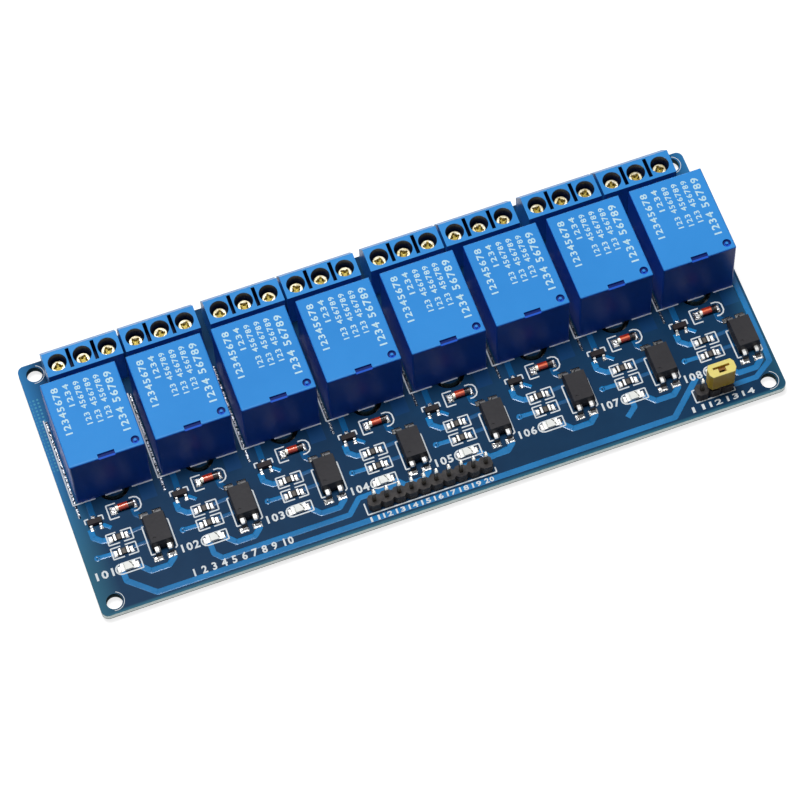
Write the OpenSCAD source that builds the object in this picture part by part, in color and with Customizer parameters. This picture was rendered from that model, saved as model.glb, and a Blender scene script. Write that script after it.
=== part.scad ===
// Eight-channel relay module board.
//
// X runs along the row of relays, Y from the header edge to the screw terminals, Z up.
// The origin is the centre of the mounting-hole pattern, on the underside of the board.

/* [Board] */
// Thickness of the laminate
board_t = 1.6; // [1.2:0.1:2.0]
// Radius of the board's corners
board_corner_r = 1.4; // [0.5:0.1:2.4]
// Board in front of the relays, which carries the small parts and the headers
front_zone_d = 24.55; // [24.4:0.05:28]
// Board left of the first relay
left_margin = 2.6; // [2.2:0.1:6]
// Board right of the last relay
right_margin = 1.7; // [1.5:0.1:6]
// Diameter of the mounting holes
hole_d = 3.2; // [2.6:0.1:3.4]
// Mounting hole centre to the board's end
hole_inset_x = 3.0; // [2.6:0.1:3.2]
// Mounting hole centre to the board's long edge
hole_inset_y = 2.5; // [2.4:0.1:3.0]

/* [Relays] */
// Width of a relay case, along the row
relay_w = 15.2; // [15.0:0.1:15.8]
// Length of a relay case, across the board
relay_d = 19.0; // [18.8:0.1:20]
// Height of a relay case
relay_h = 15.8; // [15.4:0.1:18]
// Distance from one relay to the next
relay_pitch = 17.3; // [17.1:0.1:19]
// Wall of the relay case
relay_wall = 0.8; // [0.6:0.05:0.9]
// Radius of the relay case's edges
relay_edge_r = 0.35; // [0.15:0.05:0.5]
// Width of the notch in the top front edge
notch_w = 3.4; // [2:0.1:5]
// Reach of the notch back from the front face
notch_d = 1.0; // [0.6:0.1:1.5]
// Depth of the notch and of the vent recess below the case's top
notch_h = 0.5; // [0.2:0.05:0.55]
// Diameter of the vent recess
vent_d = 1.7; // [1.2:0.1:2.2]
// Vent centre to the case's right face and to its front face
vent_inset = 1.5; // [1.4:0.1:2.5]

/* [Relay works] */
// Diameter of the coil winding
coil_d = 9.4; // [8:0.1:9.8]
// Diameter of the iron core
core_d = 4.0; // [3:0.1:4.6]
// Diameter of the pole face on the core
pole_d = 6.4; // [5.4:0.1:7.4]
// Thickness of the yoke and the armature
iron_t = 1.0; // [0.8:0.05:1.1]
// Width of the yoke and the armature
iron_w = 9.0; // [7:0.1:9.6]
// Thickness of the contact leaf
leaf_t = 0.3; // [0.2:0.05:0.4]
// Diameter of a contact rivet
contact_d = 2.2; // [1.6:0.1:2.6]
// Diameter of the relay's round pins
relay_pin_d = 0.9; // [0.7:0.05:1.0]
// Angle that the armature closes through, in degrees
armature_travel = 2.0; // [1.6:0.1:2.1]

/* [Screw terminals] */
// Distance between poles
pole_pitch = 5.08; // [5.0:0.02:5.16]
// Depth of a block at its foot
terminal_d = 7.6; // [7.4:0.1:8.2]
// Depth of a block's top face
terminal_top_d = 5.2; // [5.0:0.05:5.8]
// Height of a block
terminal_h = 10.2; // [9.8:0.1:12]
// Height at which the sloped back face starts
terminal_shoulder_h = 6.4; // [6.2:0.1:7.4]
// Gap between the two blocks of a pair
pair_joint = 0.55; // [0.3:0.05:0.8]
// Gap between neighbouring pairs
pair_gap = 2.0; // [1.6:0.1:2.4]
// Gap between the relays and the blocks
relay_terminal_gap = 3.8; // [2:0.1:6]
// Gap between the blocks and the board's back edge
terminal_edge_gap = 1.85; // [0.4:0.05:4]
// Diameter of a screw well
well_d = 3.75; // [3.5:0.05:4.0]
// Depth of the screw head's top below the block's top
screw_sink = 2.1; // [1.6:0.1:2.4]
// Diameter of the screw head
screw_head_d = 3.0; // [2.8:0.05:3.2]
// Diameter of the screw's shank
screw_d = 2.0; // [1.6:0.1:2.0]

/* [Small parts] */
// Optocoupler body along the row
opto_w = 4.6; // [4.4:0.1:5.0]
// Optocoupler body across the board
opto_d = 6.5; // [6.2:0.1:6.8]
// Optocoupler body height
opto_h = 3.4; // [3.0:0.1:3.8]
// Diameter of the glass diodes
diode_d = 1.4; // [1.2:0.05:1.6]
// Length of the glass diodes over their caps
diode_l = 3.5; // [3.2:0.1:3.7]
// Length of a chip resistor
chip_l = 2.0; // [1.8:0.05:2.2]
// Width of a chip resistor
chip_w = 1.25; // [1.1:0.05:1.4]
// Height of a chip resistor
chip_h = 0.5; // [0.4:0.05:0.7]
// Length of a chip light
led_l = 3.0; // [2.6:0.1:3.3]
// Width of a chip light
led_w = 1.5; // [1.3:0.05:1.6]

/* [Headers] */
// Distance between header pins
pin_pitch = 2.54; // [2.5:0.02:2.58]
// Pins of the signal header
signal_pins_n = 10; // [8:1:11]
// Side of a square header pin
pin_side = 0.64; // [0.6:0.02:0.68]
// Height of a header's plastic base
header_base_h = 2.5; // [2.3:0.1:2.7]
// Header pin tips above the board
header_pin_h = 6.9; // [6.6:0.1:8.6]
// Header pin row to the board's front edge
header_inset = 4.15; // [3.9:0.05:4.4]
// Centre of the signal header, right of the board's centre
signal_header_x = -2.52; // [-6:0.02:2]
// Right-hand end of the power header, left of the board's right edge
power_header_inset = 10.18; // [9.4:0.01:10.6]
// Height of the jumper cap
jumper_h = 5.2; // [5.0:0.1:6]
// Depth of the jumper cap
jumper_d = 2.9; // [2.7:0.05:3.1]

/* [Hidden] */
CHANNELS = 8;
PAIR = 2;
POLES = 3;
POWER_PINS = 3;

$fn = 48;
skin = 0.01;          // how far a cut runs past the face that it opens
far = 60;             // longer than any single piece that is cut from a profile
fit = 0.05;           // clearance between pieces that are fitted together
hole_clearance = 0.3; // how much wider a soldered hole is than its pin

// Board, measured from its centre
relay_row_w = (CHANNELS - 1) * relay_pitch + relay_w;
board_w = left_margin + relay_row_w + right_margin;
board_d = front_zone_d + relay_d + relay_terminal_gap + terminal_d + terminal_edge_gap;
hole_x = board_w / 2 - hole_inset_x;
hole_y = board_d / 2 - hole_inset_y;
first_relay_x = left_margin - board_w / 2;
relay_y = front_zone_d - board_d / 2;
terminal_y = relay_y + relay_d + relay_terminal_gap;
pin_drop = 1.4;       // how far every pin stands out under the board
solder_d = 2.1;       // foot of a solder joint
solder_h = 1.0;

// Relay, measured from the case's front left foot
relay_mid_x = relay_w / 2;
pin_side_inset = 1.6; // side pins to the case's side face
pin_row_dx = relay_w / 2 - pin_side_inset;
common_pin_y = 1.75;
coil_pin_y = 3.6;
pin_back_inset = 3.2; // contact pins to the case's back face
contact_pin_y = relay_d - pin_back_inset;
relay_base_t = 1.4;
relay_stand = 0.1;    // gap under the relay's base
works_z = relay_stand + relay_base_t;
flange_t = 0.7;
flange_over = 0.5;    // how far the flanges stand past the winding
flange_z = works_z + iron_t;
works_head = 2.9;     // armature's underside to the case's roof
armature_z = relay_h - relay_wall - notch_h - works_head;
yoke_y = relay_wall + 2 * fit;
coil_y = yoke_y + iron_t + fit + coil_d / 2 + flange_over;
pole_t = 0.6;
hinge_y = yoke_y + iron_t / 2;
armature_back_y = coil_y + pole_d / 2 + 0.4;
pole_z = armature_z - fit - (coil_y + pole_d / 2 - hinge_y) * tan(armature_travel);
bobbin_top_z = pole_z - pole_t - fit;
leaf_z = armature_z + iron_t;
leaf_w = 4.0;
contact_pin_step = 1.2; // contact pins behind the contacts
contact_y = contact_pin_y - contact_pin_step;
contact_t = 0.4;
blade_t = 0.4;
blade_w = 1.8;
contact_drop = (contact_y + contact_d / 2 - hinge_y) * tan(armature_travel);
upper_blade_z = leaf_z + leaf_t + 2 * contact_t + fit;
lower_blade_z = leaf_z - 2 * contact_t - fit - contact_drop - blade_t;
slot_r = 2.75;        // isolation slot round the common pin
slot_w = 1.0;
slot_leg = 3.2;
slot_y = 1.4;

// Terminal block, measured from its front left foot
terminal_side = 0.03; // plastic past the outer poles' own pitch
terminal_w = POLES * pole_pitch + 2 * terminal_side;
pair_w = PAIR * terminal_w + pair_joint;
pairs = CHANNELS / PAIR;
terminal_row_w = pairs * pair_w + (pairs - 1) * pair_gap;
screw_head_h = 1.5;
screw_bevel = 0.25;
recess_w = 0.5;       // cross recess in the head
recess_l = 2.0;
recess_h = 0.8;
well_floor_z = terminal_h - screw_sink - screw_head_h;
well_y = terminal_top_d / 2;
rib_slot_w = 0.75;
rib_slot_z = 5.6;
rib_slot_y = 0.6;
rib_slot_rim = 0.3;   // plastic left behind the slot at the top
entry_w = 3.8;
entry_z = 1.2;
entry_h = 4.0;
entry_y = 0.5;         // front wall of the wire cavity
cage_w = 3.4;
cage_wall = 0.45;
cage_d = 4.2;
cage_z = entry_z + fit;
cage_h = 3.9;
bar_t = 0.5;
bar_w = 2.2;
bar_z = cage_z + cage_h - cage_wall - fit - bar_t;
terminal_pin_w = 1.0;
terminal_pin_t = 0.5;
terminal_pin_y = entry_y + fit + terminal_pin_t / 2;
cage_y = terminal_pin_y + terminal_pin_t / 2 + 2 * fit;

// Places of one channel's small parts: right of its relay's left side, behind the header pins
opto_at = [12.7, 8.75];
diode_at = [8.35, 16.55];
transistor_at = [1.9, 15.35];
resistor_at = [[5.3, 10.85], [5.35, 7.65]];
led_at = [5.2, 4.3];
opto_stand = 0.15;
opto_draft = 0.25;
opto_pin_gap = 2.54;
opto_lead_w = 1.1;
opto_lead_t = 0.25;
opto_lead_out = 1.85;
opto_foot = 0.75;
transistor_w = 2.9;
transistor_d = 1.3;
transistor_h = 1.0;
transistor_lead_w = 0.45;
transistor_lead_t = 0.12;
cap_l = 0.45;
cap_over = 0.03;      // how far a metal end stands past the body that it wraps
end_l = 0.4;
led_base_h = 0.35;
led_lens_h = 0.4;
led_lens_l = led_l - 1.3;
opto_z = board_t + opto_stand;

// Headers
header_y = header_inset - board_d / 2;
header_base_d = 2.5;
header_corner = 0.55;
pin_tip = 0.5;
pin_tip_side = 0.25;
power_header_x = board_w / 2 - power_header_inset - POWER_PINS * pin_pitch / 2;
jumper_x = power_header_x + pin_pitch / 2;
jumper_w = 2 * pin_pitch + 0.45;
jumper_wall = 0.45;
jumper_corner = [0.5, 0.75];
jumper_lip = 0.9;     // height of the narrower mouth on top
jumper_mouth = [3.4, 0.45];  // slot through the lip
jumper_mouth_y = 0.35;
jumper_window = [1.5, 1.2];  // test window in front of the slot
jumper_lift = 1.3;    // the cap is not pushed right down
jumper_z = board_t + header_base_h + jumper_lift;
clip_t = 0.2;
clip_w = 1.6;
clip_gap = pin_side / 2 + fit;
clip_z = 0.6;
clip_relief = 1.3;    // gap in the bridge under the test window

function relay_x(i) = first_relay_x + (i - 1) * relay_pitch;
function terminal_x(i) = -terminal_row_w / 2 + floor((i - 1) / PAIR) * (pair_w + pair_gap)
    + ((i - 1) % PAIR) * (terminal_w + pair_joint);
function pole_x(k) = terminal_side + (k - 0.5) * pole_pitch;
function relay_pin_places() = [
    [relay_mid_x, common_pin_y],
    [relay_mid_x - pin_row_dx, coil_pin_y], [relay_mid_x + pin_row_dx, coil_pin_y],
    [relay_mid_x - pin_row_dx, contact_pin_y], [relay_mid_x + pin_row_dx, contact_pin_y]
];

// ---- places ----

module at_relay(i) {
    translate([relay_x(i), relay_y, board_t]) children();
}

module at_relays() {
    for (i = [1:CHANNELS]) at_relay(i) children();
}

module at_terminals() {
    for (i = [1:CHANNELS]) translate([terminal_x(i), terminal_y, board_t]) children();
}

module at_poles() {
    for (k = [1:POLES]) translate([pole_x(k), 0, 0]) children();
}

module at_channel(i, place) {
    translate([relay_x(i) + place[0], header_y + place[1], board_t]) children();
}

module at_channels(place) {
    for (i = [1:CHANNELS]) at_channel(i, place) children();
}

module at_pins(x, n) {
    for (k = [1:n]) translate([x + (k - (n + 1) / 2) * pin_pitch, header_y, 0]) children();
}

// ---- shared shapes ----

// A rectangle centred on the origin with round corners
module round_rect(w, d, r) {
    square([w - 2 * r, d], center = true);
    square([w, d - 2 * r], center = true);
    for (x = [-1, 1], y = [-1, 1]) translate([x * (w / 2 - r), y * (d / 2 - r)]) circle(r);
}

// A block whose upright edges and top edges are rounded, standing on z = 0
module soft_block(w, d, h, r) {
    intersection() {
        linear_extrude(h) round_rect(w, d, r);
        rotate([90, 0, 0]) linear_extrude(far, center = true) round_rect(w, 2 * h, r);
        rotate([90, 0, 90]) linear_extrude(far, center = true) round_rect(d, 2 * h, r);
    }
}

// The half-outline of a moulded body: widest at its parting line, drafted above and below
module drafted_outline(w, h, draft) {
    polygon([
        [draft - w / 2, 0], [w / 2 - draft, 0], [w / 2, h / 2],
        [w / 2 - draft, h], [draft - w / 2, h], [-w / 2, h / 2]
    ]);
}

// A moulded package, centred in X and Y and standing on z = 0
module drafted_block(w, d, h, draft) {
    intersection() {
        rotate([90, 0, 0]) linear_extrude(far, center = true) drafted_outline(w, h, draft);
        rotate([90, 0, 90]) linear_extrude(far, center = true) drafted_outline(d, h, draft);
    }
}

// A gull-wing lead that leaves a body at y = 0 and height z, and runs towards -Y
module gull_lead(w, t, z, out, foot) {
    rotate([90, 0, 90]) linear_extrude(w, center = true) polygon([
        [0, z + t / 2], [foot - out + t, z + t / 2], [foot - out, z - t / 2],
        [foot - out - t, t], [-out, t], [-out, 0], [foot - out, 0],
        [foot - out + t, z - t / 2], [0, z - t / 2]
    ]);
}

// A square header pin with a tapered tip at both ends
module square_pin(low, high) {
    intersection() {
        rotate([90, 0, 0]) linear_extrude(far, center = true) pin_outline(low, high);
        rotate([90, 0, 90]) linear_extrude(far, center = true) pin_outline(low, high);
    }
}

module pin_outline(low, high) {
    half = pin_side / 2;
    tip = pin_tip_side / 2;
    polygon([
        [-tip, low], [tip, low], [half, low + pin_tip], [half, high - pin_tip],
        [tip, high], [-tip, high], [-half, high - pin_tip], [-half, low + pin_tip]
    ]);
}

// ---- board ----

// U-shaped isolation slot round the common pin, open towards the relay's middle
module isolation_slot() {
    outer_r = slot_r + slot_w / 2;
    inner_r = slot_r - slot_w / 2;
    difference() {
        union() {
            circle(outer_r);
            translate([-outer_r, 0]) square([2 * outer_r, slot_leg]);
        }
        circle(inner_r);
        translate([-inner_r, 0]) square([2 * inner_r, slot_leg + skin]);
        translate([-inner_r, slot_leg]) square([2 * inner_r, slot_w]);
    }
}

module circuit_board() {
    relay_hole_d = relay_pin_d + hole_clearance;
    terminal_hole_d = sqrt(pow(terminal_pin_w, 2) + pow(terminal_pin_t, 2)) + hole_clearance / 2;
    header_hole_d = pin_side * sqrt(2) + hole_clearance / 2;
    color("midnightblue") difference() {
        linear_extrude(board_t) round_rect(board_w, board_d, board_corner_r);
        for (x = [-1, 1], y = [-1, 1])
            translate([x * hole_x, y * hole_y, -skin]) cylinder(d = hole_d, h = board_t + 2 * skin);
        translate([0, 0, -board_t]) {
            at_relays() for (p = relay_pin_places())
                translate([p[0], p[1], -skin]) cylinder(d = relay_hole_d, h = board_t + 2 * skin);
            at_relays() translate([relay_mid_x, slot_y, -skin])
                linear_extrude(board_t + 2 * skin) isolation_slot();
            at_terminals() at_poles() translate([0, terminal_pin_y, -skin])
                cylinder(d = terminal_hole_d, h = board_t + 2 * skin);
        }
        at_pins(signal_header_x, signal_pins_n)
            translate([0, 0, -skin]) cylinder(d = header_hole_d, h = board_t + 2 * skin);
        at_pins(power_header_x, POWER_PINS)
            translate([0, 0, -skin]) cylinder(d = header_hole_d, h = board_t + 2 * skin);
    }
}

// A tinned cone round a pin under the board; bore clears the pin that it is soldered to
module solder_cone(bore) {
    translate([0, 0, -solder_h]) difference() {
        cylinder(d1 = bore + 0.3, d2 = solder_d, h = solder_h);
        translate([0, 0, -skin]) cylinder(d = bore, h = solder_h + 2 * skin);
    }
}

module solder_joints() {
    terminal_bore = sqrt(pow(terminal_pin_w, 2) + pow(terminal_pin_t, 2));
    color("silver") {
        translate([0, 0, -board_t]) {
            at_relays() for (p = relay_pin_places()) translate(p) solder_cone(relay_pin_d);
            at_terminals() at_poles() translate([0, terminal_pin_y, 0]) solder_cone(terminal_bore);
        }
        at_pins(signal_header_x, signal_pins_n) solder_cone(pin_side * sqrt(2));
        at_pins(power_header_x, POWER_PINS) solder_cone(pin_side * sqrt(2));
    }
}

// ---- relay ----

module relay_case(i) {
    color("dodgerblue") at_relay(i) difference() {
        union() {
            difference() {
                translate([relay_mid_x, relay_d / 2, 0])
                    soft_block(relay_w, relay_d, relay_h, relay_edge_r);
                translate([relay_mid_x - notch_w / 2, -skin, relay_h - notch_h])
                    cube([notch_w, notch_d + skin, notch_h + skin]);
                translate([relay_w - vent_inset, vent_inset, relay_h - notch_h])
                    cylinder(d = vent_d, h = notch_h + skin);
            }
            translate([relay_w - vent_inset, vent_inset, relay_h - notch_h - skin])
                cylinder(d = vent_d / 3, h = notch_h);
        }
        translate([relay_wall, relay_wall, -skin]) cube([
            relay_w - 2 * relay_wall, relay_d - 2 * relay_wall, relay_h - relay_wall - notch_h + skin
        ]);
    }
}

module relay_base() {
    translate([relay_wall + fit, relay_wall + fit, relay_stand]) difference() {
        cube([
            relay_w - 2 * relay_wall - 2 * fit, relay_d - 2 * relay_wall - 2 * fit, relay_base_t
        ]);
        translate([-relay_wall - fit, -relay_wall - fit, -skin]) for (p = relay_pin_places())
            translate(p) cylinder(d = relay_pin_d + 2 * fit, h = relay_base_t + 2 * skin);
    }
}

module relay_bases() {
    color("midnightblue") at_relays() relay_base();
}

// Bobbin with two square flanges on a tube
module relay_bobbin() {
    flange_w = coil_d + 2 * flange_over;
    translate([relay_mid_x, coil_y, flange_z]) difference() {
        union() {
            translate([-flange_w / 2, -flange_w / 2, 0]) cube([flange_w, flange_w, flange_t]);
            cylinder(d = core_d + 1.4, h = bobbin_top_z - flange_z);
            translate([-flange_w / 2, -flange_w / 2, bobbin_top_z - flange_z - flange_t])
                cube([flange_w, flange_w, flange_t]);
        }
        translate([0, 0, -skin]) cylinder(d = core_d + 2 * fit, h = relay_h);
    }
}

module relay_bobbins() {
    color("ivory") at_relays() relay_bobbin();
}

module relay_coil() {
    low = flange_z + flange_t;
    high = bobbin_top_z - flange_t;
    translate([relay_mid_x, coil_y, low]) difference() {
        cylinder(d = coil_d, h = high - low);
        translate([0, 0, -skin]) cylinder(d = core_d + 1.4, h = high - low + 2 * skin);
    }
}

module relay_coils() {
    color("chocolate") at_relays() relay_coil();
}

// L-shaped yoke with the core riveted into its foot; the wall's top edge carries the armature
module relay_yoke() {
    foot_d = coil_y + core_d / 2 + 0.6 - yoke_y;
    translate([relay_mid_x - iron_w / 2, yoke_y, works_z]) {
        cube([iron_w, foot_d, iron_t]);
        cube([iron_w, iron_t, armature_z - fit - works_z]);
    }
    translate([relay_mid_x, coil_y, works_z]) cylinder(d = core_d, h = pole_z - works_z);
    translate([relay_mid_x, coil_y, pole_z - pole_t]) cylinder(d = pole_d, h = pole_t);
}

module relay_yokes() {
    color("slategray") at_relays() relay_yoke();
}

// Hinged iron plate with the contact leaf riveted on top and a contact on each face of the leaf
module relay_armature(i) {
    leaf_y = hinge_y + 1.5;
    color("gainsboro") at_relay(i) {
        translate([relay_mid_x - iron_w / 2, yoke_y, armature_z])
            cube([iron_w, armature_back_y - yoke_y, iron_t]);
        translate([relay_mid_x - leaf_w / 2, leaf_y, leaf_z])
            cube([leaf_w, contact_y + contact_d / 2 + 0.3 - leaf_y, leaf_t]);
        translate([relay_mid_x, contact_y, leaf_z - contact_t])
            cylinder(d = contact_d, h = 2 * contact_t + leaf_t);
    }
}

// A fixed contact on an arm that reaches in from the side, on a post that stands on a pin
module fixed_contact(side, z, rivet_z) {
    post_x = relay_mid_x + side * pin_row_dx;
    reach = pin_row_dx + blade_t / 2;
    arm_x = relay_mid_x - (side > 0 ? contact_d / 2 : reach);
    translate([arm_x, contact_y - blade_w / 2, z]) cube([reach + contact_d / 2, blade_w, blade_t]);
    translate([relay_mid_x, contact_y, rivet_z]) cylinder(d = contact_d, h = contact_t);
    translate([post_x - blade_t / 2, contact_y - blade_w / 2, works_z])
        cube([blade_t, contact_pin_y + relay_pin_d / 2 - contact_y + blade_w / 2, z + blade_t - works_z]);
}

module relay_contacts() {
    color("goldenrod") at_relays() {
        fixed_contact(-1, upper_blade_z, upper_blade_z - contact_t);
        fixed_contact(1, lower_blade_z, lower_blade_z + blade_t);
    }
}

module relay_pins() {
    color("silver") at_relays() for (p = relay_pin_places())
        translate([p[0], p[1], -board_t - pin_drop]) cylinder(d = relay_pin_d, h = board_t + pin_drop + works_z);
}

// ---- screw terminals ----

module terminal_profile() {
    polygon([
        [0, 0], [terminal_d, 0], [terminal_d, terminal_shoulder_h],
        [terminal_top_d, terminal_h], [0, terminal_h]
    ]);
}

module terminal_block(i) {
    color("dodgerblue") translate([terminal_x(i), terminal_y, board_t]) difference() {
        rotate([90, 0, 90]) linear_extrude(terminal_w) terminal_profile();
        at_poles() {
            translate([0, well_y, well_floor_z]) cylinder(d = well_d, h = terminal_h);
            translate([0, well_y, entry_z]) cylinder(d = screw_d + 4 * fit, h = terminal_h);
            translate([-entry_w / 2, entry_y, entry_z]) cube([entry_w, terminal_d, entry_h]);
            translate([-terminal_pin_w / 2 - fit, terminal_pin_y - terminal_pin_t / 2 - fit, -skin])
                cube([terminal_pin_w + 2 * fit, terminal_pin_t + 2 * fit, entry_z + 2 * skin]);
        }
        for (k = [1:POLES - 1])
            translate([terminal_side + k * pole_pitch - rib_slot_w / 2, rib_slot_y, rib_slot_z])
                cube([rib_slot_w, terminal_top_d - rib_slot_y - rib_slot_rim, terminal_h]);
    }
}

// Bevelled head with a cross recess that sinks to a cone in the middle
module terminal_screw() {
    head_z = well_floor_z;
    top_z = head_z + screw_head_h;
    difference() {
        union() {
            translate([0, 0, head_z]) cylinder(d = screw_head_d, h = screw_head_h - screw_bevel);
            translate([0, 0, top_z - screw_bevel])
                cylinder(d1 = screw_head_d, d2 = screw_head_d - 2 * screw_bevel, h = screw_bevel);
        }
        for (a = [0, 90]) rotate(a)
            translate([-recess_l / 2, -recess_w / 2, top_z - recess_h])
                cube([recess_l, recess_w, 1]);
        translate([0, 0, top_z - recess_h])
            cylinder(d1 = 0.8, d2 = 1.6, h = recess_h + skin);
    }
    translate([0, 0, bar_z + bar_t]) cylinder(d = screw_d, h = head_z - bar_z - bar_t);
}

function screw_turn(i, k) = (37 * i + 53 * k) % 90;

module terminal_screws() {
    color("khaki") for (i = [1:CHANNELS], k = [1:POLES])
        translate([terminal_x(i) + pole_x(k), terminal_y + well_y, board_t])
            rotate(screw_turn(i, k)) terminal_screw();
}

// Rising cage that the wire goes into, open at both ends, with the screw's hole in its roof
module terminal_cage() {
    translate([-cage_w / 2, cage_y, cage_z]) difference() {
        cube([cage_w, cage_d, cage_h]);
        translate([cage_wall, -skin, cage_wall])
            cube([cage_w - 2 * cage_wall, cage_d + 2 * skin, cage_h - 2 * cage_wall]);
        translate([cage_w / 2, well_y - cage_y, cage_wall])
            cylinder(d = screw_d + 2 * fit, h = cage_h);
    }
}

module terminal_clamps() {
    color("silver") at_terminals() at_poles() terminal_cage();
}

// Contact bar through the cage's top, with its leg down the front and out under the board
module terminal_pin() {
    leg_y = terminal_pin_y - terminal_pin_t / 2;
    translate([-bar_w / 2, leg_y, bar_z]) cube([bar_w, cage_y + cage_d - leg_y, bar_t]);
    translate([-terminal_pin_w / 2, leg_y, -board_t - pin_drop])
        cube([terminal_pin_w, terminal_pin_t, board_t + pin_drop + bar_z]);
}

module terminal_pins() {
    color("silver") at_terminals() at_poles() terminal_pin();
}

// ---- small parts ----

module optocoupler(i) {
    dimple_d = 0.7;
    color("dimgray") at_channel(i, opto_at) translate([0, 0, opto_stand]) difference() {
        drafted_block(opto_w, opto_d, opto_h, opto_draft);
        translate([-opto_w / 2 + opto_draft + 0.8, -opto_d / 2 + opto_draft + 0.8, opto_h - 0.15])
            cylinder(d = dimple_d, h = 1);
    }
}

module optocoupler_leads() {
    color("silver") at_channels(opto_at) for (side = [0, 180], x = [-0.5, 0.5])
        rotate(side) translate([x * opto_pin_gap, -opto_d / 2, 0])
            gull_lead(opto_lead_w, opto_lead_t, opto_stand + opto_h / 2, opto_lead_out, opto_foot);
}

module transistors() {
    color("darkslategray") at_channels(transistor_at) translate([0, 0, 0.1])
        drafted_block(transistor_w, transistor_d, transistor_h, 0.12);
}

module transistor_leads() {
    pitch = 1.9;
    color("silver") at_channels(transistor_at) for (p = [[-pitch / 2, 0], [pitch / 2, 0], [0, 180]])
        rotate(p[1]) translate([p[0], -transistor_d / 2, 0])
            gull_lead(transistor_lead_w, transistor_lead_t, 0.1 + transistor_h / 2, 0.6, 0.3);
}

module diodes() {
    color("orangered") at_channels(diode_at) translate([0, 0, diode_d / 2 + cap_over])
        rotate([0, 90, 0]) cylinder(d = diode_d, h = diode_l - 2 * cap_l, center = true);
}

module diode_caps() {
    color("silver") at_channels(diode_at) translate([0, 0, diode_d / 2 + cap_over])
        for (side = [-1, 1]) translate([side * (diode_l - cap_l) / 2, 0, 0])
            rotate([0, 90, 0]) cylinder(d = diode_d + 2 * cap_over, h = cap_l, center = true);
}

// A chip's metal end: a block with the body's shape cut out of it, open inwards
module chip_end(side, l, w, h) {
    translate([side * (l - end_l) / 2, 0, (h + 2 * cap_over) / 2]) difference() {
        cube([end_l, w + 2 * cap_over, h + 2 * cap_over], center = true);
        translate([-side * cap_over, 0, 0]) cube([end_l, w, h], center = true);
    }
}

module resistors() {
    color("black") for (place = resistor_at) at_channels(place)
        translate([0, 0, cap_over + chip_h / 2])
            cube([chip_l - 2 * cap_over, chip_w, chip_h], center = true);
}

module resistor_ends() {
    color("silver") for (place = resistor_at, side = [-1, 1]) at_channels(place)
        chip_end(side, chip_l, chip_w, chip_h);
}

// Substrate with a moulded lens on its middle
module chip_lights() {
    color("ivory") at_channels(led_at) {
        translate([0, 0, cap_over + led_base_h / 2])
            cube([led_l - 2 * cap_over, led_w, led_base_h], center = true);
        translate([0, 0, cap_over + led_base_h]) intersection() {
            rotate([90, 0, 0]) linear_extrude(led_w, center = true) polygon([
                [-led_lens_l / 2, 0], [led_lens_l / 2, 0],
                [led_lens_l / 2 - 0.12, led_lens_h], [0.12 - led_lens_l / 2, led_lens_h]
            ]);
            cube([led_l, led_w, 4 * led_lens_h], center = true);
        }
    }
}

module chip_light_ends() {
    color("gainsboro") for (side = [-1, 1]) at_channels(led_at)
        chip_end(side, led_l, led_w, led_base_h);
}

// ---- headers ----

// Plan of the base round one pin: a square with its corners cut
module header_cell() {
    w = pin_pitch / 2;
    d = header_base_d / 2;
    c = header_corner;
    polygon([
        [-w, c - d], [c - w, -d], [w - c, -d], [w, c - d],
        [w, d - c], [w - c, d], [c - w, d], [-w, d - c]
    ]);
}

module header_base(x, n) {
    difference() {
        translate([0, 0, board_t]) linear_extrude(header_base_h) at_pins(x, n) header_cell();
        at_pins(x, n) translate([-pin_side / 2 - fit, -pin_side / 2 - fit, 0])
            cube([pin_side + 2 * fit, pin_side + 2 * fit, far]);
    }
}

module header_pins(x, n) {
    at_pins(x, n) square_pin(-pin_drop, board_t + header_pin_h);
}

module signal_header() {
    color("darkslategray") header_base(signal_header_x, signal_pins_n);
}

module signal_pins() {
    color("gold") header_pins(signal_header_x, signal_pins_n);
}

module power_header() {
    color("darkslategray") header_base(power_header_x, POWER_PINS);
}

module power_pins() {
    color("gold") header_pins(power_header_x, POWER_PINS);
}

module jumper_plan() {
    w = jumper_w / 2;
    d = jumper_d / 2;
    cx = jumper_corner[0];
    cy = jumper_corner[1];
    polygon([
        [-w, cy - d], [cx - w, -d], [w - cx, -d], [w, cy - d],
        [w, d - cy], [w - cx, d], [cx - w, d], [-w, d - cy]
    ]);
}

module jumper_cap() {
    bore_w = jumper_w - 2 * jumper_wall;
    bore_d = jumper_d - 2 * jumper_wall;
    color("gold") translate([jumper_x, header_y, jumper_z]) difference() {
        linear_extrude(jumper_h) jumper_plan();
        translate([-bore_w / 2, -bore_d / 2, -skin])
            cube([bore_w, bore_d, jumper_h - jumper_lip + skin]);
        translate([-jumper_mouth[0] / 2, jumper_mouth_y - jumper_mouth[1] / 2, 0])
            cube([jumper_mouth[0], jumper_mouth[1], far]);
        translate([-jumper_window[0] / 2, jumper_mouth_y - jumper_window[1], 0])
            cube([jumper_window[0], jumper_window[1], far]);
    }
}

// Folded spring clip: two leaves on each pin, joined by a bridge above the pins
module jumper_clip() {
    top = jumper_h - jumper_lip - fit;
    bridge_w = pin_pitch + clip_w;
    color("silver") translate([jumper_x, header_y, jumper_z]) {
        difference() {
            translate([-bridge_w / 2, -clip_gap - clip_t, top - clip_t])
                cube([bridge_w, 2 * (clip_gap + clip_t), clip_t]);
            translate([-clip_relief / 2, -far, top - clip_t - skin])
                cube([clip_relief, far, 2 * clip_t]);
        }
        for (x = [-0.5, 0.5], y = [-clip_gap - clip_t, clip_gap])
            translate([x * pin_pitch - clip_w / 2, y, clip_z]) cube([clip_w, clip_t, top - clip_z]);
    }
}

// ---- one node at a time ----

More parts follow.
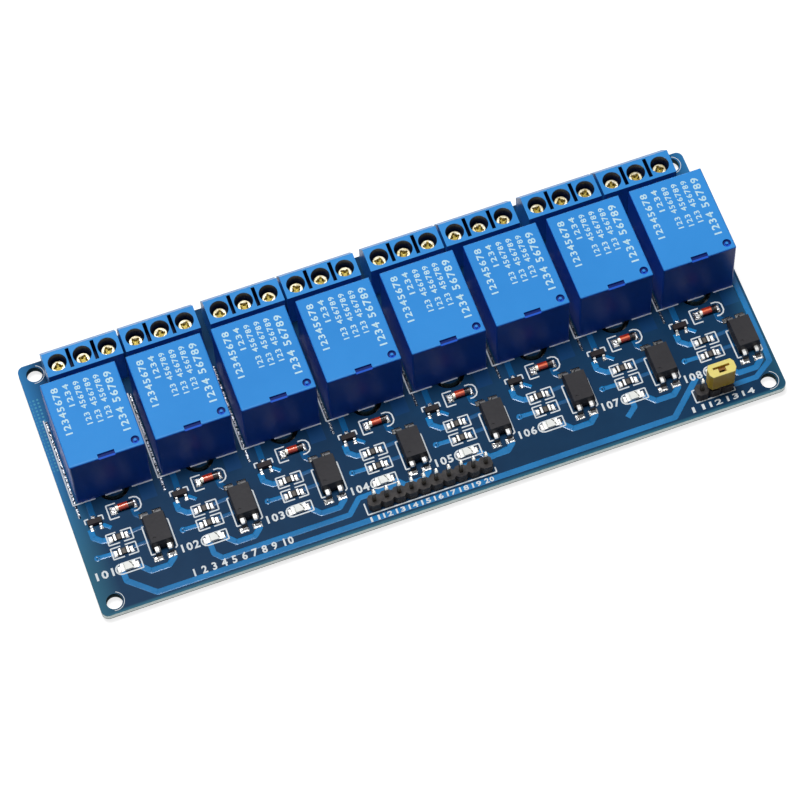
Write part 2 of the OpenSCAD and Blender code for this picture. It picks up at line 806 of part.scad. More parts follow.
circuit_board();
for (i = [1:CHANNELS]) {
    relay_case(i);
    relay_armature(i);
    terminal_block(i);
    optocoupler(i);
}
relay_bases();
relay_bobbins();
relay_coils();
relay_yokes();
relay_contacts();
relay_pins();
terminal_screws();
terminal_clamps();
terminal_pins();
optocoupler_leads();
transistors();
transistor_leads();
diodes();
diode_caps();
resistors();
resistor_ends();
chip_lights();
chip_light_ends();
signal_header();
signal_pins();
power_header();
power_pins();
jumper_cap();
jumper_clip();
solder_joints();
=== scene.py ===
import math

import bmesh
import bpy
from mathutils import Euler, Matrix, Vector


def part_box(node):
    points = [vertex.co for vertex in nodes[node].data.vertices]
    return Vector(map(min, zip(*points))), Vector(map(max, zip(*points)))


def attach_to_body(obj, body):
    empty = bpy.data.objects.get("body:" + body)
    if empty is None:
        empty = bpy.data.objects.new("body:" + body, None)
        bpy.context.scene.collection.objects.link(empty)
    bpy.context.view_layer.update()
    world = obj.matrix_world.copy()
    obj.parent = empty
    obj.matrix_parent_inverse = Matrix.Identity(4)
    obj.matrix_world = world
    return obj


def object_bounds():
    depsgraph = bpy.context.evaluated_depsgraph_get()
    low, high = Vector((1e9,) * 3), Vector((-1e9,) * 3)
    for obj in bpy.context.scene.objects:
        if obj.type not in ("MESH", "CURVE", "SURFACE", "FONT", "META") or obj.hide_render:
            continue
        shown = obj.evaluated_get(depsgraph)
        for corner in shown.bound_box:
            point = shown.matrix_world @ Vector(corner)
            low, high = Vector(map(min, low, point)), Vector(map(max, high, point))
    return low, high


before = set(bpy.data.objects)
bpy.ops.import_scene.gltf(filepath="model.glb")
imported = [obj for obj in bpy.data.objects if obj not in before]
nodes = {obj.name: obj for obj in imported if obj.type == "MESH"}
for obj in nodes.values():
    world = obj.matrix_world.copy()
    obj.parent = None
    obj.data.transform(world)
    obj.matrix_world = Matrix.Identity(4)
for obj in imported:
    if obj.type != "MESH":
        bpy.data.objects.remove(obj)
cad_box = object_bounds()
scene = bpy.context.scene

# ---------------------------------------------------------------------------
# Camera. A long lens looks down on the board from its front left corner, so
# that the tops of the relays and the small parts in front of them both show.
# ---------------------------------------------------------------------------
CAMERA_PLACE = (-0.09313, -0.31341, 0.64691)
CAMERA_TURN = (26.476, 1.616, -19.733)
CAMERA_LENS = 165.9
CAMERA_FILM = 36.0
camera = bpy.data.objects.new("camera", bpy.data.cameras.new("camera"))
camera.data.lens = CAMERA_LENS
camera.data.sensor_width = CAMERA_FILM
camera.data.clip_start = 0.01
camera.location = CAMERA_PLACE
camera.rotation_euler = Euler([math.radians(angle) for angle in CAMERA_TURN])
scene.collection.objects.link(camera)
scene.camera = camera

# ---------------------------------------------------------------------------
# Studio. One soft lamp hangs straight above the board, so that upright faces
# stay dark. The white floor touches the tips of the pins.
# ---------------------------------------------------------------------------
LAMP_PLACE = (-0.08, 0.07, 1.00)
LAMP_SIZE = 0.34
LAMP_WATTS = 8.7
WHITE = (1.0, 1.0, 1.0)
# each pair: as light on the board, and as the camera and gloss see it
WORLD_STRENGTH = (0.03, 1.0)
FLOOR_COLOR = ((0.06, 0.06, 0.06), (0.40, 0.40, 0.40))
FLOOR_SIZE = 6.0
FLOOR_GAP = 0.00002
FLOOR_GLOW = 0.80
# the floor's glow fades in over these distances from its middle, in metres
GLOW_FROM_X = (0.0685, 0.0700)
GLOW_FROM_Y = (0.0190, 0.0210)

lamp = bpy.data.objects.new("top_lamp", bpy.data.lights.new("top_lamp", "AREA"))
lamp.data.size = LAMP_SIZE
lamp.data.energy = LAMP_WATTS
lamp.location = LAMP_PLACE
lamp.rotation_euler = (-Vector(LAMP_PLACE)).to_track_quat("-Z", "Y").to_euler()
scene.collection.objects.link(lamp)


class Shading:
    """A node tree, with short ways to lay sums and colours in it."""

    def __init__(self, tree):
        self.tree = tree

    def feed(self, socket, value):
        """Feeds a socket from another socket, or with a plain number or colour."""
        if isinstance(value, bpy.types.NodeSocket):
            self.tree.links.new(value, socket)
        elif isinstance(value, tuple):
            socket.default_value = (*value, 1.0)
        else:
            socket.default_value = value

    def figure(self, operation, *values):
        """A Math node on sockets or plain numbers."""
        made = self.tree.nodes.new("ShaderNodeMath")
        made.operation = operation
        for socket, value in zip(made.inputs, values):
            self.feed(socket, value)
        return made.outputs[0]

    def product(self, first, *others):
        """All the values multiplied. Of masks, the place where all of them hold."""
        for other in others:
            first = self.figure("MULTIPLY", first, other)
        return first

    def largest(self, first, *others):
        """The largest of the values. Of masks, the place where any of them holds."""
        for other in others:
            first = self.figure("MAXIMUM", first, other)
        return first

    def minus(self, value, other):
        """The value less the other."""
        return self.figure("SUBTRACT", value, other)

    def plain_size(self, value):
        """The value without its sign."""
        return self.figure("ABSOLUTE", value)

    def above(self, value, limit):
        """One where the value is more than the limit."""
        return self.figure("GREATER_THAN", value, limit)

    def below(self, value, limit):
        """One where the value is less than the limit."""
        return self.figure("LESS_THAN", value, limit)

    def inside(self, value, low, high):
        """One where the value lies between low and high."""
        return self.product(self.above(value, low), self.below(value, high))

    def patch(self, x, y, left, right, front, back):
        """One inside a rectangle."""
        return self.product(self.inside(x, left, right), self.inside(y, front, back))

    def square_sum(self, x, y):
        """The distance of a place from zero, squared."""
        return self.figure("ADD", self.product(x, x), self.product(y, y))

    def between(self, value, low, high, start=0.0, end=1.0):
        """Runs from low to high as the value runs from start to end."""
        ramp = self.tree.nodes.new("ShaderNodeMapRange")
        for name, number in (("From Min", start), ("From Max", end),
                             ("To Min", low), ("To Max", high)):
            ramp.inputs[name].default_value = number
        self.feed(ramp.inputs["Value"], value)
        return ramp.outputs["Result"]

    def tint(self, mask, under, over):
        """The colour under, with the colour over where the mask is one."""
        made = self.tree.nodes.new("ShaderNodeMix")
        made.data_type = "RGBA"
        for name, value in (("Factor", mask), ("A", under), ("B", over)):
            self.feed(made.inputs[name], value)
        return made.outputs["Result"]

    def place(self):
        """The place on the object, in metres."""
        return self.tree.nodes.new("ShaderNodeTexCoord").outputs["Object"]

    def axes(self, place=None):
        """X, Y and Z of a place, or of the place on the object."""
        split = self.tree.nodes.new("ShaderNodeSeparateXYZ")
        self.feed(split.inputs["Vector"], self.place() if place is None else place)
        return split.outputs["X"], split.outputs["Y"], split.outputs["Z"]

    def noise(self, scale, detail):
        """A noise over the object, near a half everywhere."""
        made = self.tree.nodes.new("ShaderNodeTexNoise")
        made.inputs["Detail"].default_value = detail
        self.feed(made.inputs["Scale"], scale)
        self.feed(made.inputs["Vector"], self.place())
        return made

    def seen_directly(self):
        """One where a camera, glossy or transmission ray arrives, else zero."""
        rays = self.tree.nodes.new("ShaderNodeLightPath").outputs
        return self.largest(*(
            rays[f"Is {kind} Ray"] for kind in ("Camera", "Glossy", "Transmission")))


class Finish(Shading):
    """A material and its shader."""

    def __init__(self, name, roughness, specular):
        self.material = bpy.data.materials.new(name)
        self.material.use_nodes = True
        super().__init__(self.material.node_tree)
        self.shader = self.tree.nodes["Principled BSDF"]
        self.shade("Roughness", roughness)
        self.shade("Specular IOR Level", specular)

    def shade(self, name, value):
        """Feeds one of the shader's sockets."""
        self.feed(self.shader.inputs[name], value)


world = bpy.data.worlds.new("studio")
scene.world = world
world.use_nodes = True
sky = Shading(world.node_tree)
sky_light = world.node_tree.nodes["Background"]
sky.feed(sky_light.inputs["Color"], WHITE)
sky.feed(sky_light.inputs["Strength"], sky.between(sky.seen_directly(), *WORLD_STRENGTH))

floor_grid = bmesh.new()
bmesh.ops.create_grid(floor_grid, x_segments=1, y_segments=1, size=FLOOR_SIZE / 2)
for vert in floor_grid.verts:
    vert.co.z = cad_box[0][2] - FLOOR_GAP
floor_mesh = bpy.data.meshes.new("floor")
floor_grid.to_mesh(floor_mesh)
floor_grid.free()
floor = bpy.data.objects.new("floor", floor_mesh)
scene.collection.objects.link(floor)

floor_finish = Finish("studio_floor", 0.9, 0.1)
floor_seen = floor_finish.seen_directly()
floor_finish.shade("Base Color", floor_finish.tint(floor_seen, *FLOOR_COLOR))
floor_finish.shade("Emission Color", WHITE)
# no light of its own beneath the middle of the board: a painted shadow there, so that the slots
# stay dark
floor_x, floor_y = (floor_finish.plain_size(axis) for axis in floor_finish.axes()[:2])
floor_glow = floor_finish.largest(floor_finish.between(floor_x, 0.0, FLOOR_GLOW, *GLOW_FROM_X),
                                  floor_finish.between(floor_y, 0.0, FLOOR_GLOW, *GLOW_FROM_Y))
floor_finish.shade("Emission Strength", floor_finish.product(floor_glow, floor_seen))
floor_mesh.materials.append(floor_finish.material)

# ---------------------------------------------------------------------------
# Circuit board. Glass laminate with a dark blue solder mask over its two
# faces. The sawn edge shows the bare laminate, and the slots' walls carry painted shade.
# ---------------------------------------------------------------------------
MM = 0.001
CHANNELS = 8
BOARD_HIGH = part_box("circuit_board")[1]
BOARD_TOP = BOARD_HIGH.z
EDGE_X, EDGE_Y, EDGE_Z = (size / MM for size in BOARD_HIGH)
RELAY_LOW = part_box("relay_case_1")[0] / MM
RELAY_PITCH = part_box("relay_case_2")[0].x / MM - RELAY_LOW.x
CHANNEL_START = (RELAY_LOW.x * MM, RELAY_LOW.y * MM, BOARD_TOP)

# everything on this surface is in millimetres
RIM = 0.9                       # the outline's walls lie this close to the board's box
FACE = 0.04                     # and a wall stops this far short of either face
SHEEN_LEFT_W = 5.0
SHEEN_RIGHT_W = 4.5
SHEEN_FRONT_W = 0.7
SHEEN_TURNS_Y = (-18.0, 6.0)   # from front to back it turns bluer and brighter between these
SHEEN_RIGHT_TURNS_Y = (8.0, 22.0)
SHEEN_FRONT_COLOR = (0.034, 0.165, 0.250)
SHEEN_BACK_COLOR = (0.034, 0.210, 0.480)
DOT_PITCH = 0.8
DOT_RADIUS_SQUARED = 0.045
DOT_AREA = (-EDGE_X + 0.3, -EDGE_X + 2.5, 4.0, 21.0)    # left, right, front and back
DOT_SHOWS = 0.6
DOT_COLOR = (0.10, 0.40, 0.52)
RELAY_SHADE_PLACE = (12.0, 15.1, -3.8, 3.0)  # left, right, front and back, from the relay's foot
RELAY_SHADE_COLOR = (0.005, 0.045, 0.140)
GLASS_COLORS = ((0.66, 0.74, 0.74), (0.90, 0.95, 0.94))
STAIN_Z = (1.2, 1.5)
STAIN_COLOR = (0.10, 0.34, 0.44)
EDGE_FOOT_SHADE_Z = (0.10, 0.30)
EDGE_FOOT_SHADE_COLOR = (0.08, 0.09, 0.07)
SAWN_SHINE = (0.2, 0.65)        # how the cut glass mirrors, on the short and the long sides
WALL_SHADE_COLOR = (0.10, 0.19, 0.22)
WALL_ROUGHNESS = 0.9


def group_sockets(group, inputs, outputs):
    """Names a node group's sockets: (name, type, starting value) in, (name, type) out."""
    for name, kind, value in inputs:
        socket = group.interface.new_socket(
            name=name, in_out="INPUT", socket_type="NodeSocket" + kind)
        if value is not None:
            socket.default_value = value
    for name, kind in outputs:
        group.interface.new_socket(
            name=name, in_out="OUTPUT", socket_type="NodeSocket" + kind)
    return group.nodes.new("NodeGroupInput"), group.nodes.new("NodeGroupOutput")


# Moulded or coated surface: a slow change of colour, and a fine grain in the gloss and the relief
moulded = Shading(bpy.data.node_groups.new("moulded_surface", "ShaderNodeTree"))
moulded_in, moulded_out = group_sockets(
    moulded.tree,
    [("Color", "Color", (0.5, 0.5, 0.5, 1.0)), ("Other Color", "Color", (0.5, 0.5, 0.5, 1.0)),
     ("Patch Size", "Float", 60.0), ("Grain Size", "Float", 900.0),
     ("Roughness", "Float", 0.4), ("Roughness Spread", "Float", 0.1)],
    [("Color", "Color"), ("Roughness", "Float"), ("Height", "Float")])
patches = moulded.noise(moulded_in.outputs["Patch Size"], 4.0)
patches.inputs["Roughness"].default_value = 0.6
grain = moulded.noise(moulded_in.outputs["Grain Size"], 3.0).outputs["Fac"]
moulded.feed(moulded_out.inputs["Color"], moulded.tint(
    moulded.between(patches.outputs["Fac"], 0.0, 1.0, 0.3, 0.7),
    moulded_in.outputs["Color"], moulded_in.outputs["Other Color"]))
moulded.feed(moulded_out.inputs["Roughness"], moulded.figure(
    "MULTIPLY_ADD", grain, moulded_in.outputs["Roughness Spread"], moulded_in.outputs["Roughness"]))
moulded.feed(moulded_out.inputs["Height"], grain)

# Place within a channel: millimetres from the front left foot of the channel's own relay
channel_place = Shading(bpy.data.node_groups.new("channel_place", "ShaderNodeTree"))
channel_in, channel_out = group_sockets(
    channel_place.tree,
    [("Start", "Vector", (0.0, 0.0, 0.0)), ("Pitch", "Float", 0.017),
     ("Left Share", "Float", 0.0015)],
    [("X", "Float"), ("Y", "Float"), ("Z", "Float")])
from_start = channel_place.tree.nodes.new("ShaderNodeVectorMath")
from_start.operation = "SUBTRACT"
channel_place.feed(from_start.inputs[0], channel_place.place())
channel_place.feed(from_start.inputs[1], channel_in.outputs["Start"])
channel_x, channel_y, channel_z = channel_place.axes(from_start.outputs["Vector"])
channel_x = channel_place.figure("ADD", channel_x, channel_in.outputs["Left Share"])
channel_x = channel_place.figure("FLOORED_MODULO", channel_x, channel_in.outputs["Pitch"])
channel_x = channel_place.minus(channel_x, channel_in.outputs["Left Share"])
for axis_name, axis in (("X", channel_x), ("Y", channel_y), ("Z", channel_z)):
    channel_place.feed(channel_out.inputs[axis_name], channel_place.product(axis, 1.0 / MM))


def in_channel(finish, start=CHANNEL_START, pitch=RELAY_PITCH * MM, left_share=1.5 * MM):
    """X, Y and Z of the place within a channel, or from another start at another pitch."""
    made = finish.tree.nodes.new("ShaderNodeGroup")
    made.node_tree = channel_place.tree
    made.inputs["Start"].default_value = start
    made.inputs["Pitch"].default_value = pitch
    made.inputs["Left Share"].default_value = left_share
    return made.outputs["X"], made.outputs["Y"], made.outputs["Z"]


class MouldedFinish(Finish):
    """A finish whose colour, gloss and relief come from the moulded surface."""

    def __init__(self, name, color, other, patch, grain, rough,
                 spread=0.1, bump=0.1, depth=0.00002, specular=0.5):
        super().__init__(name, rough, specular)
        self.surface = self.tree.nodes.new("ShaderNodeGroup")
        self.surface.node_tree = moulded.tree
        for socket_name, value in (
                ("Color", color), ("Other Color", other), ("Patch Size", patch),
                ("Grain Size", grain), ("Roughness", rough), ("Roughness Spread", spread)):
            self.feed(self.surface.inputs[socket_name], value)
        relief = self.tree.nodes.new("ShaderNodeBump")
        relief.inputs["Strength"].default_value = bump
        relief.inputs["Distance"].default_value = depth
        self.feed(relief.inputs["Height"], self.surface.outputs["Height"])
        self.color = self.surface.outputs["Color"]
        self.shade("Base Color", self.color)
        self.shade("Roughness", self.surface.outputs["Roughness"])
        self.shade("Normal", relief.outputs["Normal"])

    def paint(self, mask, over):
        """Lays a colour over what the finish has so far, where the mask is one."""
        self.color = self.tint(mask, self.color, over)
        self.shade("Base Color", self.color)


def dress(node, finish):
    """Gives a solid of the frame its finish."""
    nodes[node].data.materials.clear()
    nodes[node].data.materials.append(finish.material)


board = MouldedFinish(
    "solder_mask", (0.003, 0.030, 0.082), (0.006, 0.044, 0.112),
    patch=70.0, grain=2200.0, rough=0.26, spread=0.12, bump=0.25, specular=0.08)
board_x, board_y, board_z = (board.product(axis, 1.0 / MM) for axis in board.axes())

# painted shade of the relay: a darker blue patch in front of each relay's right-hand corner
relay_shade_x, relay_shade_y = in_channel(board)[:2]
board.paint(board.patch(relay_shade_x, relay_shade_y, *RELAY_SHADE_PLACE), RELAY_SHADE_COLOR)

# painted sheen on the mask: bright along the left end, fainter along
# the right end and the front
sheen_color = board.tint(
    board.between(board_y, 0.0, 1.0, *SHEEN_TURNS_Y), SHEEN_FRONT_COLOR, SHEEN_BACK_COLOR)
sheen_left = board.product(board.between(board_x, 1.0, 0.0, -EDGE_X, -EDGE_X + SHEEN_LEFT_W),
                            board.between(board_y, 0.75, 1.0, *SHEEN_TURNS_Y))
sheen_right = board.product(board.between(board_x, 0.0, 1.0, EDGE_X - SHEEN_RIGHT_W, EDGE_X),
                             board.between(board_y, 0.45, 0.95, *SHEEN_RIGHT_TURNS_Y))
sheen_front = board.between(board_y, 1.0, 0.0, -EDGE_Y, -EDGE_Y + SHEEN_FRONT_W)
board.paint(board.largest(sheen_left, sheen_right, sheen_front), sheen_color)

# rows of small stitching holes under the mask beside the first relay
dot_x, dot_y = (board.minus(board.figure("FLOORED_MODULO", axis, DOT_PITCH), DOT_PITCH / 2)
                for axis in (board_x, board_y))
dots = board.product(board.below(board.square_sum(dot_x, dot_y), DOT_RADIUS_SQUARED),
                     board.patch(board_x, board_y, *DOT_AREA))
board.paint(board.product(dots, DOT_SHOWS), DOT_COLOR)

# the wall between the two faces, and the part of it that is the board's own outline
board_wall = board.below(board.plain_size(board.minus(board_z, EDGE_Z / 2)), EDGE_Z / 2 - FACE)
board_long_rim = board.above(board.plain_size(board_y), EDGE_Y - RIM)
board_sawn = board.product(board_wall, board.largest(
    board_long_rim, board.above(board.plain_size(board_x), EDGE_X - RIM)))
# painted shade on the walls of the slots and holes; the sawn outline is painted over it below
board.paint(board_wall, WALL_SHADE_COLOR)

# layers of glass cloth in the sawn laminate, stained by the mask at the top of the cut, with a line
# of painted shade along its foot
board_layers = board.tree.nodes.new("ShaderNodeTexWave")
board_layers.bands_direction = "Z"
for layer_name, number in (("Scale", 900.0), ("Distortion", 3.0), ("Detail Scale", 2.0)):
    board_layers.inputs[layer_name].default_value = number
board.feed(board_layers.inputs["Vector"], board.place())
board_glass = board.tint(board_layers.outputs["Fac"], *GLASS_COLORS)
board_glass = board.tint(board.between(board_z, 0.0, 1.0, *STAIN_Z), board_glass, STAIN_COLOR)
board_glass = board.tint(
    board.between(board_z, 1.0, 0.0, *EDGE_FOOT_SHADE_Z), board_glass, EDGE_FOOT_SHADE_COLOR)
board.paint(board_sawn, board_glass)
board.shade("Metallic", board.product(board_sawn, board.between(board_long_rim, *SAWN_SHINE)))
board.shade("Roughness", board.largest(
    board.surface.outputs["Roughness"], board.product(board_wall, WALL_ROUGHNESS)))
dress("circuit_board", board)

# ---------------------------------------------------------------------------
# Copper under the mask. Tracks and pours stand a little proud of the laminate
# and shine through the mask as a lighter blue. Each is a strip along its run.
# ---------------------------------------------------------------------------
COPPER_T = 0.04
COPPER_SLOPE = 0.16
CROSSING_STEP = 0.002           # the long tracks lie this much higher, so that no faces coincide
VIA_PLACE = (0.1, -12.4)
VIA_RADIUS = 0.42
FAINT_COLOR = (0.004, 0.050, 0.150)
FAINT_SHOWS = 0.7


def ring(middle, radius, steps, first, last):
    """Points round a middle, from one step to another of a circle that has so many steps."""
    angles = [step * 2 * math.pi / steps for step in range(first, last + 1)]
    return [(middle[0] + radius * math.cos(angle), middle[1] + radius * math.sin(angle))
            for angle in angles]


channel_tracks = [
    # runs of one channel: (width, points from the relay's front left foot)
    (0.8, [(3.2, -5.9), (4.6, -7.1)]),
    (1.2, [(0.65, -6.2), (0.65, -8.0), (2.1, -9.25), (3.4, -9.4)]),
    (0.9, [(0.2, -12.4), (3.4, -12.5)]),
    (0.8, [(7.2, -12.4), (10.6, -12.3)]),
    (0.8, [(7.2, -9.3), (10.6, -9.0)]),
    (1.2, [(9.8, -4.4), (9.9, -6.0), (10.8, -6.9)]),
    (1.2, [(7.3, -16.5), (7.6, -17.0), (9.0, -18.45), (12.7, -18.45), (14.1, -17.2),
           (14.1, -16.4)]),
    (1.2, [(1.9, -3.7), (1.95, 1.0)]),
    # ring round the via at the end of the lower resistor's track
    (0.42, ring(VIA_PLACE, VIA_RADIUS, 16, 0, 16)),
]
board_tracks = [
    # runs that differ from channel to channel, from the first relay's front left foot
    (1.2, [(3.85, -16.6), (3.95, -18.8), (8.8, -23.1), (114.9, -23.1), (121.9, -16.6)]),
    (1.1, [(21.4, -16.6), (21.45, -19.2), (22.7, -20.6), (48.6, -20.65), (51.4, -17.9),
           (60.5, -17.8)]),
    (1.1, [(108.4, -16.6), (108.4, -18.2), (106.3, -19.9)]),
    (0.9, [(135.2, -17.0), (133.7, -18.4), (129.8, -18.4)]),
    (1.1, [(71.8, -20.0), (71.6, -18.6), (78.8, -18.6), (82.0, -18.0)]),
    (1.1, [(128.3, -20.5), (133.0, -20.5), (136.8, -18.0), (137.0, -14.0), (137.0, 24.0)]),
]
faint_places = [
    # left, right, front, back: close beside the relay, and between a resistor or the diode
    # and the optocoupler
    (1.0, 3.0, -3.9, 1.1), (7.1, 10.7, -13.2, -8.4), (9.1, 11.6, -7.5, -4.0),
]


def repeat_and_coat(tree, start, mesh):
    """Repeats a mesh along X and coats it. Reads the tree's Copies, Pitch and Material."""
    row = tree.nodes.new("GeometryNodeMeshLine")
    step = tree.nodes.new("ShaderNodeCombineXYZ")
    copies = tree.nodes.new("GeometryNodeInstanceOnPoints")
    real = tree.nodes.new("GeometryNodeRealizeInstances")
    coat = tree.nodes.new("GeometryNodeSetMaterial")
    for source, socket in [
        (start.outputs["Pitch"], step.inputs["X"]),
        (step.outputs["Vector"], row.inputs["Offset"]),
        (start.outputs["Copies"], row.inputs["Count"]),
        (row.outputs["Mesh"], copies.inputs["Points"]),
        (mesh, copies.inputs["Instance"]),
        (copies.outputs["Instances"], real.inputs["Geometry"]),
        (real.outputs["Geometry"], coat.inputs["Geometry"]),
        (start.outputs["Material"], coat.inputs["Material"]),
    ]:
        tree.links.new(source, socket)
    return coat.outputs["Geometry"]


def strip_maker():
    """Node tree: a flat strip with sloping edges along every run, repeated along X."""
    tree = bpy.data.node_groups.new("strip_maker", "GeometryNodeTree")
    start, end = group_sockets(
        tree,
        [("Runs", "Geometry", None), ("Width", "Float", 0.001), ("Top Width", "Float", 0.001),
         ("Thickness", "Float", 0.00005), ("Bend Radius", "Float", 0.0003), ("Copies", "Int", 1),
         ("Pitch", "Float", 0.01), ("Material", "Material", None)],
        [("Strips", "Geometry")])
    path = tree.nodes.new("GeometryNodeMeshToCurve")
    upright = tree.nodes.new("GeometryNodeSetCurveNormal")
    upright.mode = "Z_UP"
    bend = tree.nodes.new("GeometryNodeFilletCurve")
    bend.mode = "POLY"
    bend.inputs["Count"].default_value = 3
    bend.inputs["Limit Radius"].default_value = True
    section = tree.nodes.new("GeometryNodeCurvePrimitiveQuadrilateral")
    section.mode = "TRAPEZOID"
    section.inputs["Offset"].default_value = 0.0
    sweep = tree.nodes.new("GeometryNodeCurveToMesh")
    sweep.inputs["Fill Caps"].default_value = True
    # the section is swept upside down, so its bottom is the strip's top
    for source, socket in [
        (start.outputs["Runs"], path.inputs["Mesh"]),
        (path.outputs["Curve"], bend.inputs["Curve"]),
        (start.outputs["Bend Radius"], bend.inputs["Radius"]),
        (bend.outputs["Curve"], upright.inputs["Curve"]),
        (start.outputs["Width"], section.inputs["Top Width"]),
        (start.outputs["Top Width"], section.inputs["Bottom Width"]),
        (start.outputs["Thickness"], section.inputs["Height"]),
        (upright.outputs["Curve"], sweep.inputs["Curve"]),
        (section.outputs["Curve"], sweep.inputs["Profile Curve"]),
        (repeat_and_coat(tree, start, sweep.outputs["Mesh"]), end.inputs["Strips"]),
    ]:
        tree.links.new(source, socket)
    return tree


def finished_mesh(made):
    """The plain mesh that an object has once its modifiers or letters are worked out."""
    bpy.context.view_layer.update()
    return bpy.data.meshes.new_from_object(
        made.evaluated_get(bpy.context.evaluated_depsgraph_get()))


def grow(name, seed_mesh, tree, settings):
    """Runs a geometry tree over a seed mesh and returns the result as one plain mesh object."""
    seed = bpy.data.objects.new(name + "_seed", seed_mesh)
    scene.collection.objects.link(seed)
    modifier = seed.modifiers.new("grow", "NODES")
    modifier.node_group = tree
    for item in tree.interface.items_tree:
        if item.item_type == "SOCKET" and item.in_out == "INPUT" and item.name in settings:
            modifier[item.identifier] = settings[item.name]
    plain = finished_mesh(seed)
    seed.modifiers.clear()
    bpy.data.objects.remove(seed)
    plain.name = name
    piece = bpy.data.objects.new(name, plain)
    scene.collection.objects.link(piece)
    return piece


def from_foot(x, y):
    """A place in millimetres, given from the first relay's front left foot."""
    return RELAY_LOW.x + x, RELAY_LOW.y + y


def run_mesh(name, runs, height):
    """A mesh of bare edges along the runs, in metres."""
    points, edges = [], []
    for run in runs:
        edges += [(len(points) + k, len(points) + k + 1) for k in range(len(run) - 1)]
        points += [(x * MM, y * MM, height) for x, y in (from_foot(*point) for point in run)]
    seed_mesh = bpy.data.meshes.new(name + "_seed")
    seed_mesh.from_pydata(points, edges, [])
    return seed_mesh


def join_pieces(name, pieces):
    """Joins plain mesh objects of one finish into one, with flat faces."""
    whole = bmesh.new()
    for piece in pieces:
        whole.from_mesh(piece.data)
    for face in whole.faces:
        face.material_index = 0
        face.smooth = False
    joined = bpy.data.meshes.new(name)
    whole.to_mesh(joined)
    whole.free()
    joined.materials.append(next(finish for finish in pieces[0].data.materials if finish))
    for piece in pieces:
        bpy.data.objects.remove(piece)
    made = bpy.data.objects.new(name, joined)
    scene.collection.objects.link(made)
    return made


strips = strip_maker()


def lay_strips(name, runs, width, thick, finish, height, copies=1, bend=0.25, slope=0.0):
    """Strips of one width along their runs, in millimetres, with their foot at height in metres."""
    return grow(name, run_mesh(name, runs, height + thick * MM / 2), strips, {
        "Width": width * MM, "Top Width": (width - 2 * slope) * MM, "Thickness": thick * MM,
        "Bend Radius": bend * MM, "Copies": copies, "Pitch": RELAY_PITCH * MM,
        "Material": finish.material})


def attach(piece, body="module"):
    """The piece rides on a body."""
    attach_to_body(piece, body)
    return piece


track_finish = MouldedFinish(
    "copper_under_mask", (0.006, 0.165, 0.42), (0.012, 0.225, 0.56),
    patch=150.0, grain=1800.0, rough=0.12, spread=0.08, bump=0.2, specular=0.30)
track_x, track_y = in_channel(track_finish)[:2]
track_faint = track_finish.largest(
    *(track_finish.patch(track_x, track_y, *place) for place in faint_places))
track_finish.paint(track_finish.product(track_faint, FAINT_SHOWS), FAINT_COLOR)

track_pieces = [
    lay_strips(f"ch_track_{number}", [run], width, COPPER_T, track_finish, BOARD_TOP, CHANNELS,
               slope=COPPER_SLOPE)
    for number, (width, run) in enumerate(channel_tracks)
] + [
    lay_strips(f"long_track_{number}", [run], width, COPPER_T + CROSSING_STEP, track_finish,
               BOARD_TOP, slope=COPPER_SLOPE)
    for number, (width, run) in enumerate(board_tracks)
]
attach(join_pieces("copper_tracks", track_pieces))

# ---------------------------------------------------------------------------
# Printed legend. White ink on the mask: an outline round each part's place, a
# plain number for each channel and each pin. The ink is a hair thick.
# ---------------------------------------------------------------------------
INK_T = 0.02
INK_W = 0.27
INK_BEND = 0.1
RIM_INK_W = 0.12
INK_Z = BOARD_TOP + 0.03 * MM
NUMBER_Z = INK_Z + INK_T * MM
FRONT_NUMBER_Z = NUMBER_Z + 0.03 * MM   # clear of the copper run along the front
HOLE_FROM_CORNER = (3.0, 2.5)
HOLE_RIM = 1.95
PIN_PITCH = 2.6

ink_finish = MouldedFinish(
    "white_ink", (0.82, 0.86, 0.88), (0.66, 0.72, 0.76),
    patch=400.0, grain=3000.0, rough=0.55, depth=0.00001, specular=0.3)

channel_outlines = [
    # relay: its left side, and its front broken where the isolation slot runs
    [(-0.95, 19.4), (-0.95, -0.15), (3.6, -0.15)],
    [(5.6, -0.15), (9.0, -0.15)], [(11.0, -0.15), (15.2, -0.15)],
    # diode
    [(6.8, -2.4), (4.9, -2.4), (4.9, -5.5), (6.8, -5.5)],
    [(9.6, -2.3), (10.5, -2.3), (11.15, -2.6), (11.5, -3.2),
     (11.5, -4.4), (11.15, -5.0), (10.5, -5.3), (9.8, -5.3)],
    # transistor's corners
    [(0.1, -4.9), (0.1, -3.9), (0.9, -3.9)], [(2.8, -3.9), (3.7, -3.9), (3.7, -4.9)],
    # resistors, two facing brackets each
    [(5.0, -8.35), (3.0, -8.35), (3.0, -10.7), (5.2, -10.7)],
    [(5.9, -8.35), (8.0, -8.35), (8.0, -10.7), (6.0, -10.7)],
    [(5.0, -11.45), (3.0, -11.45), (3.0, -13.8), (5.2, -13.8)],
    [(5.9, -11.45), (8.0, -11.45), (8.0, -13.8), (6.0, -13.8)],
    # chip light, round at its left end
    [(3.8, -15.05), (7.9, -15.05), (7.9, -17.25), (3.7, -17.25), (3.1, -17.05),
     (2.75, -16.65), (2.65, -16.15), (2.75, -15.65), (3.1, -15.25), (3.7, -15.05)],
    # optocoupler
    [(10.8, -9.1), (10.1, -9.1), (10.1, -15.4), (10.9, -15.4)],
    [(15.0, -8.9), (15.35, -9.2), (15.35, -15.2), (14.9, -15.5)],
]
header_outlines = [
    # ten-pin header
    [(51.9, -19.4), (51.9, -21.95), (78.3, -21.95), (78.3, -20.9)],
    # three-pin header
    [(121.0, -18.9), (120.0, -19.0), (120.0, -21.7), (128.1, -21.7), (128.1, -20.9)],
]
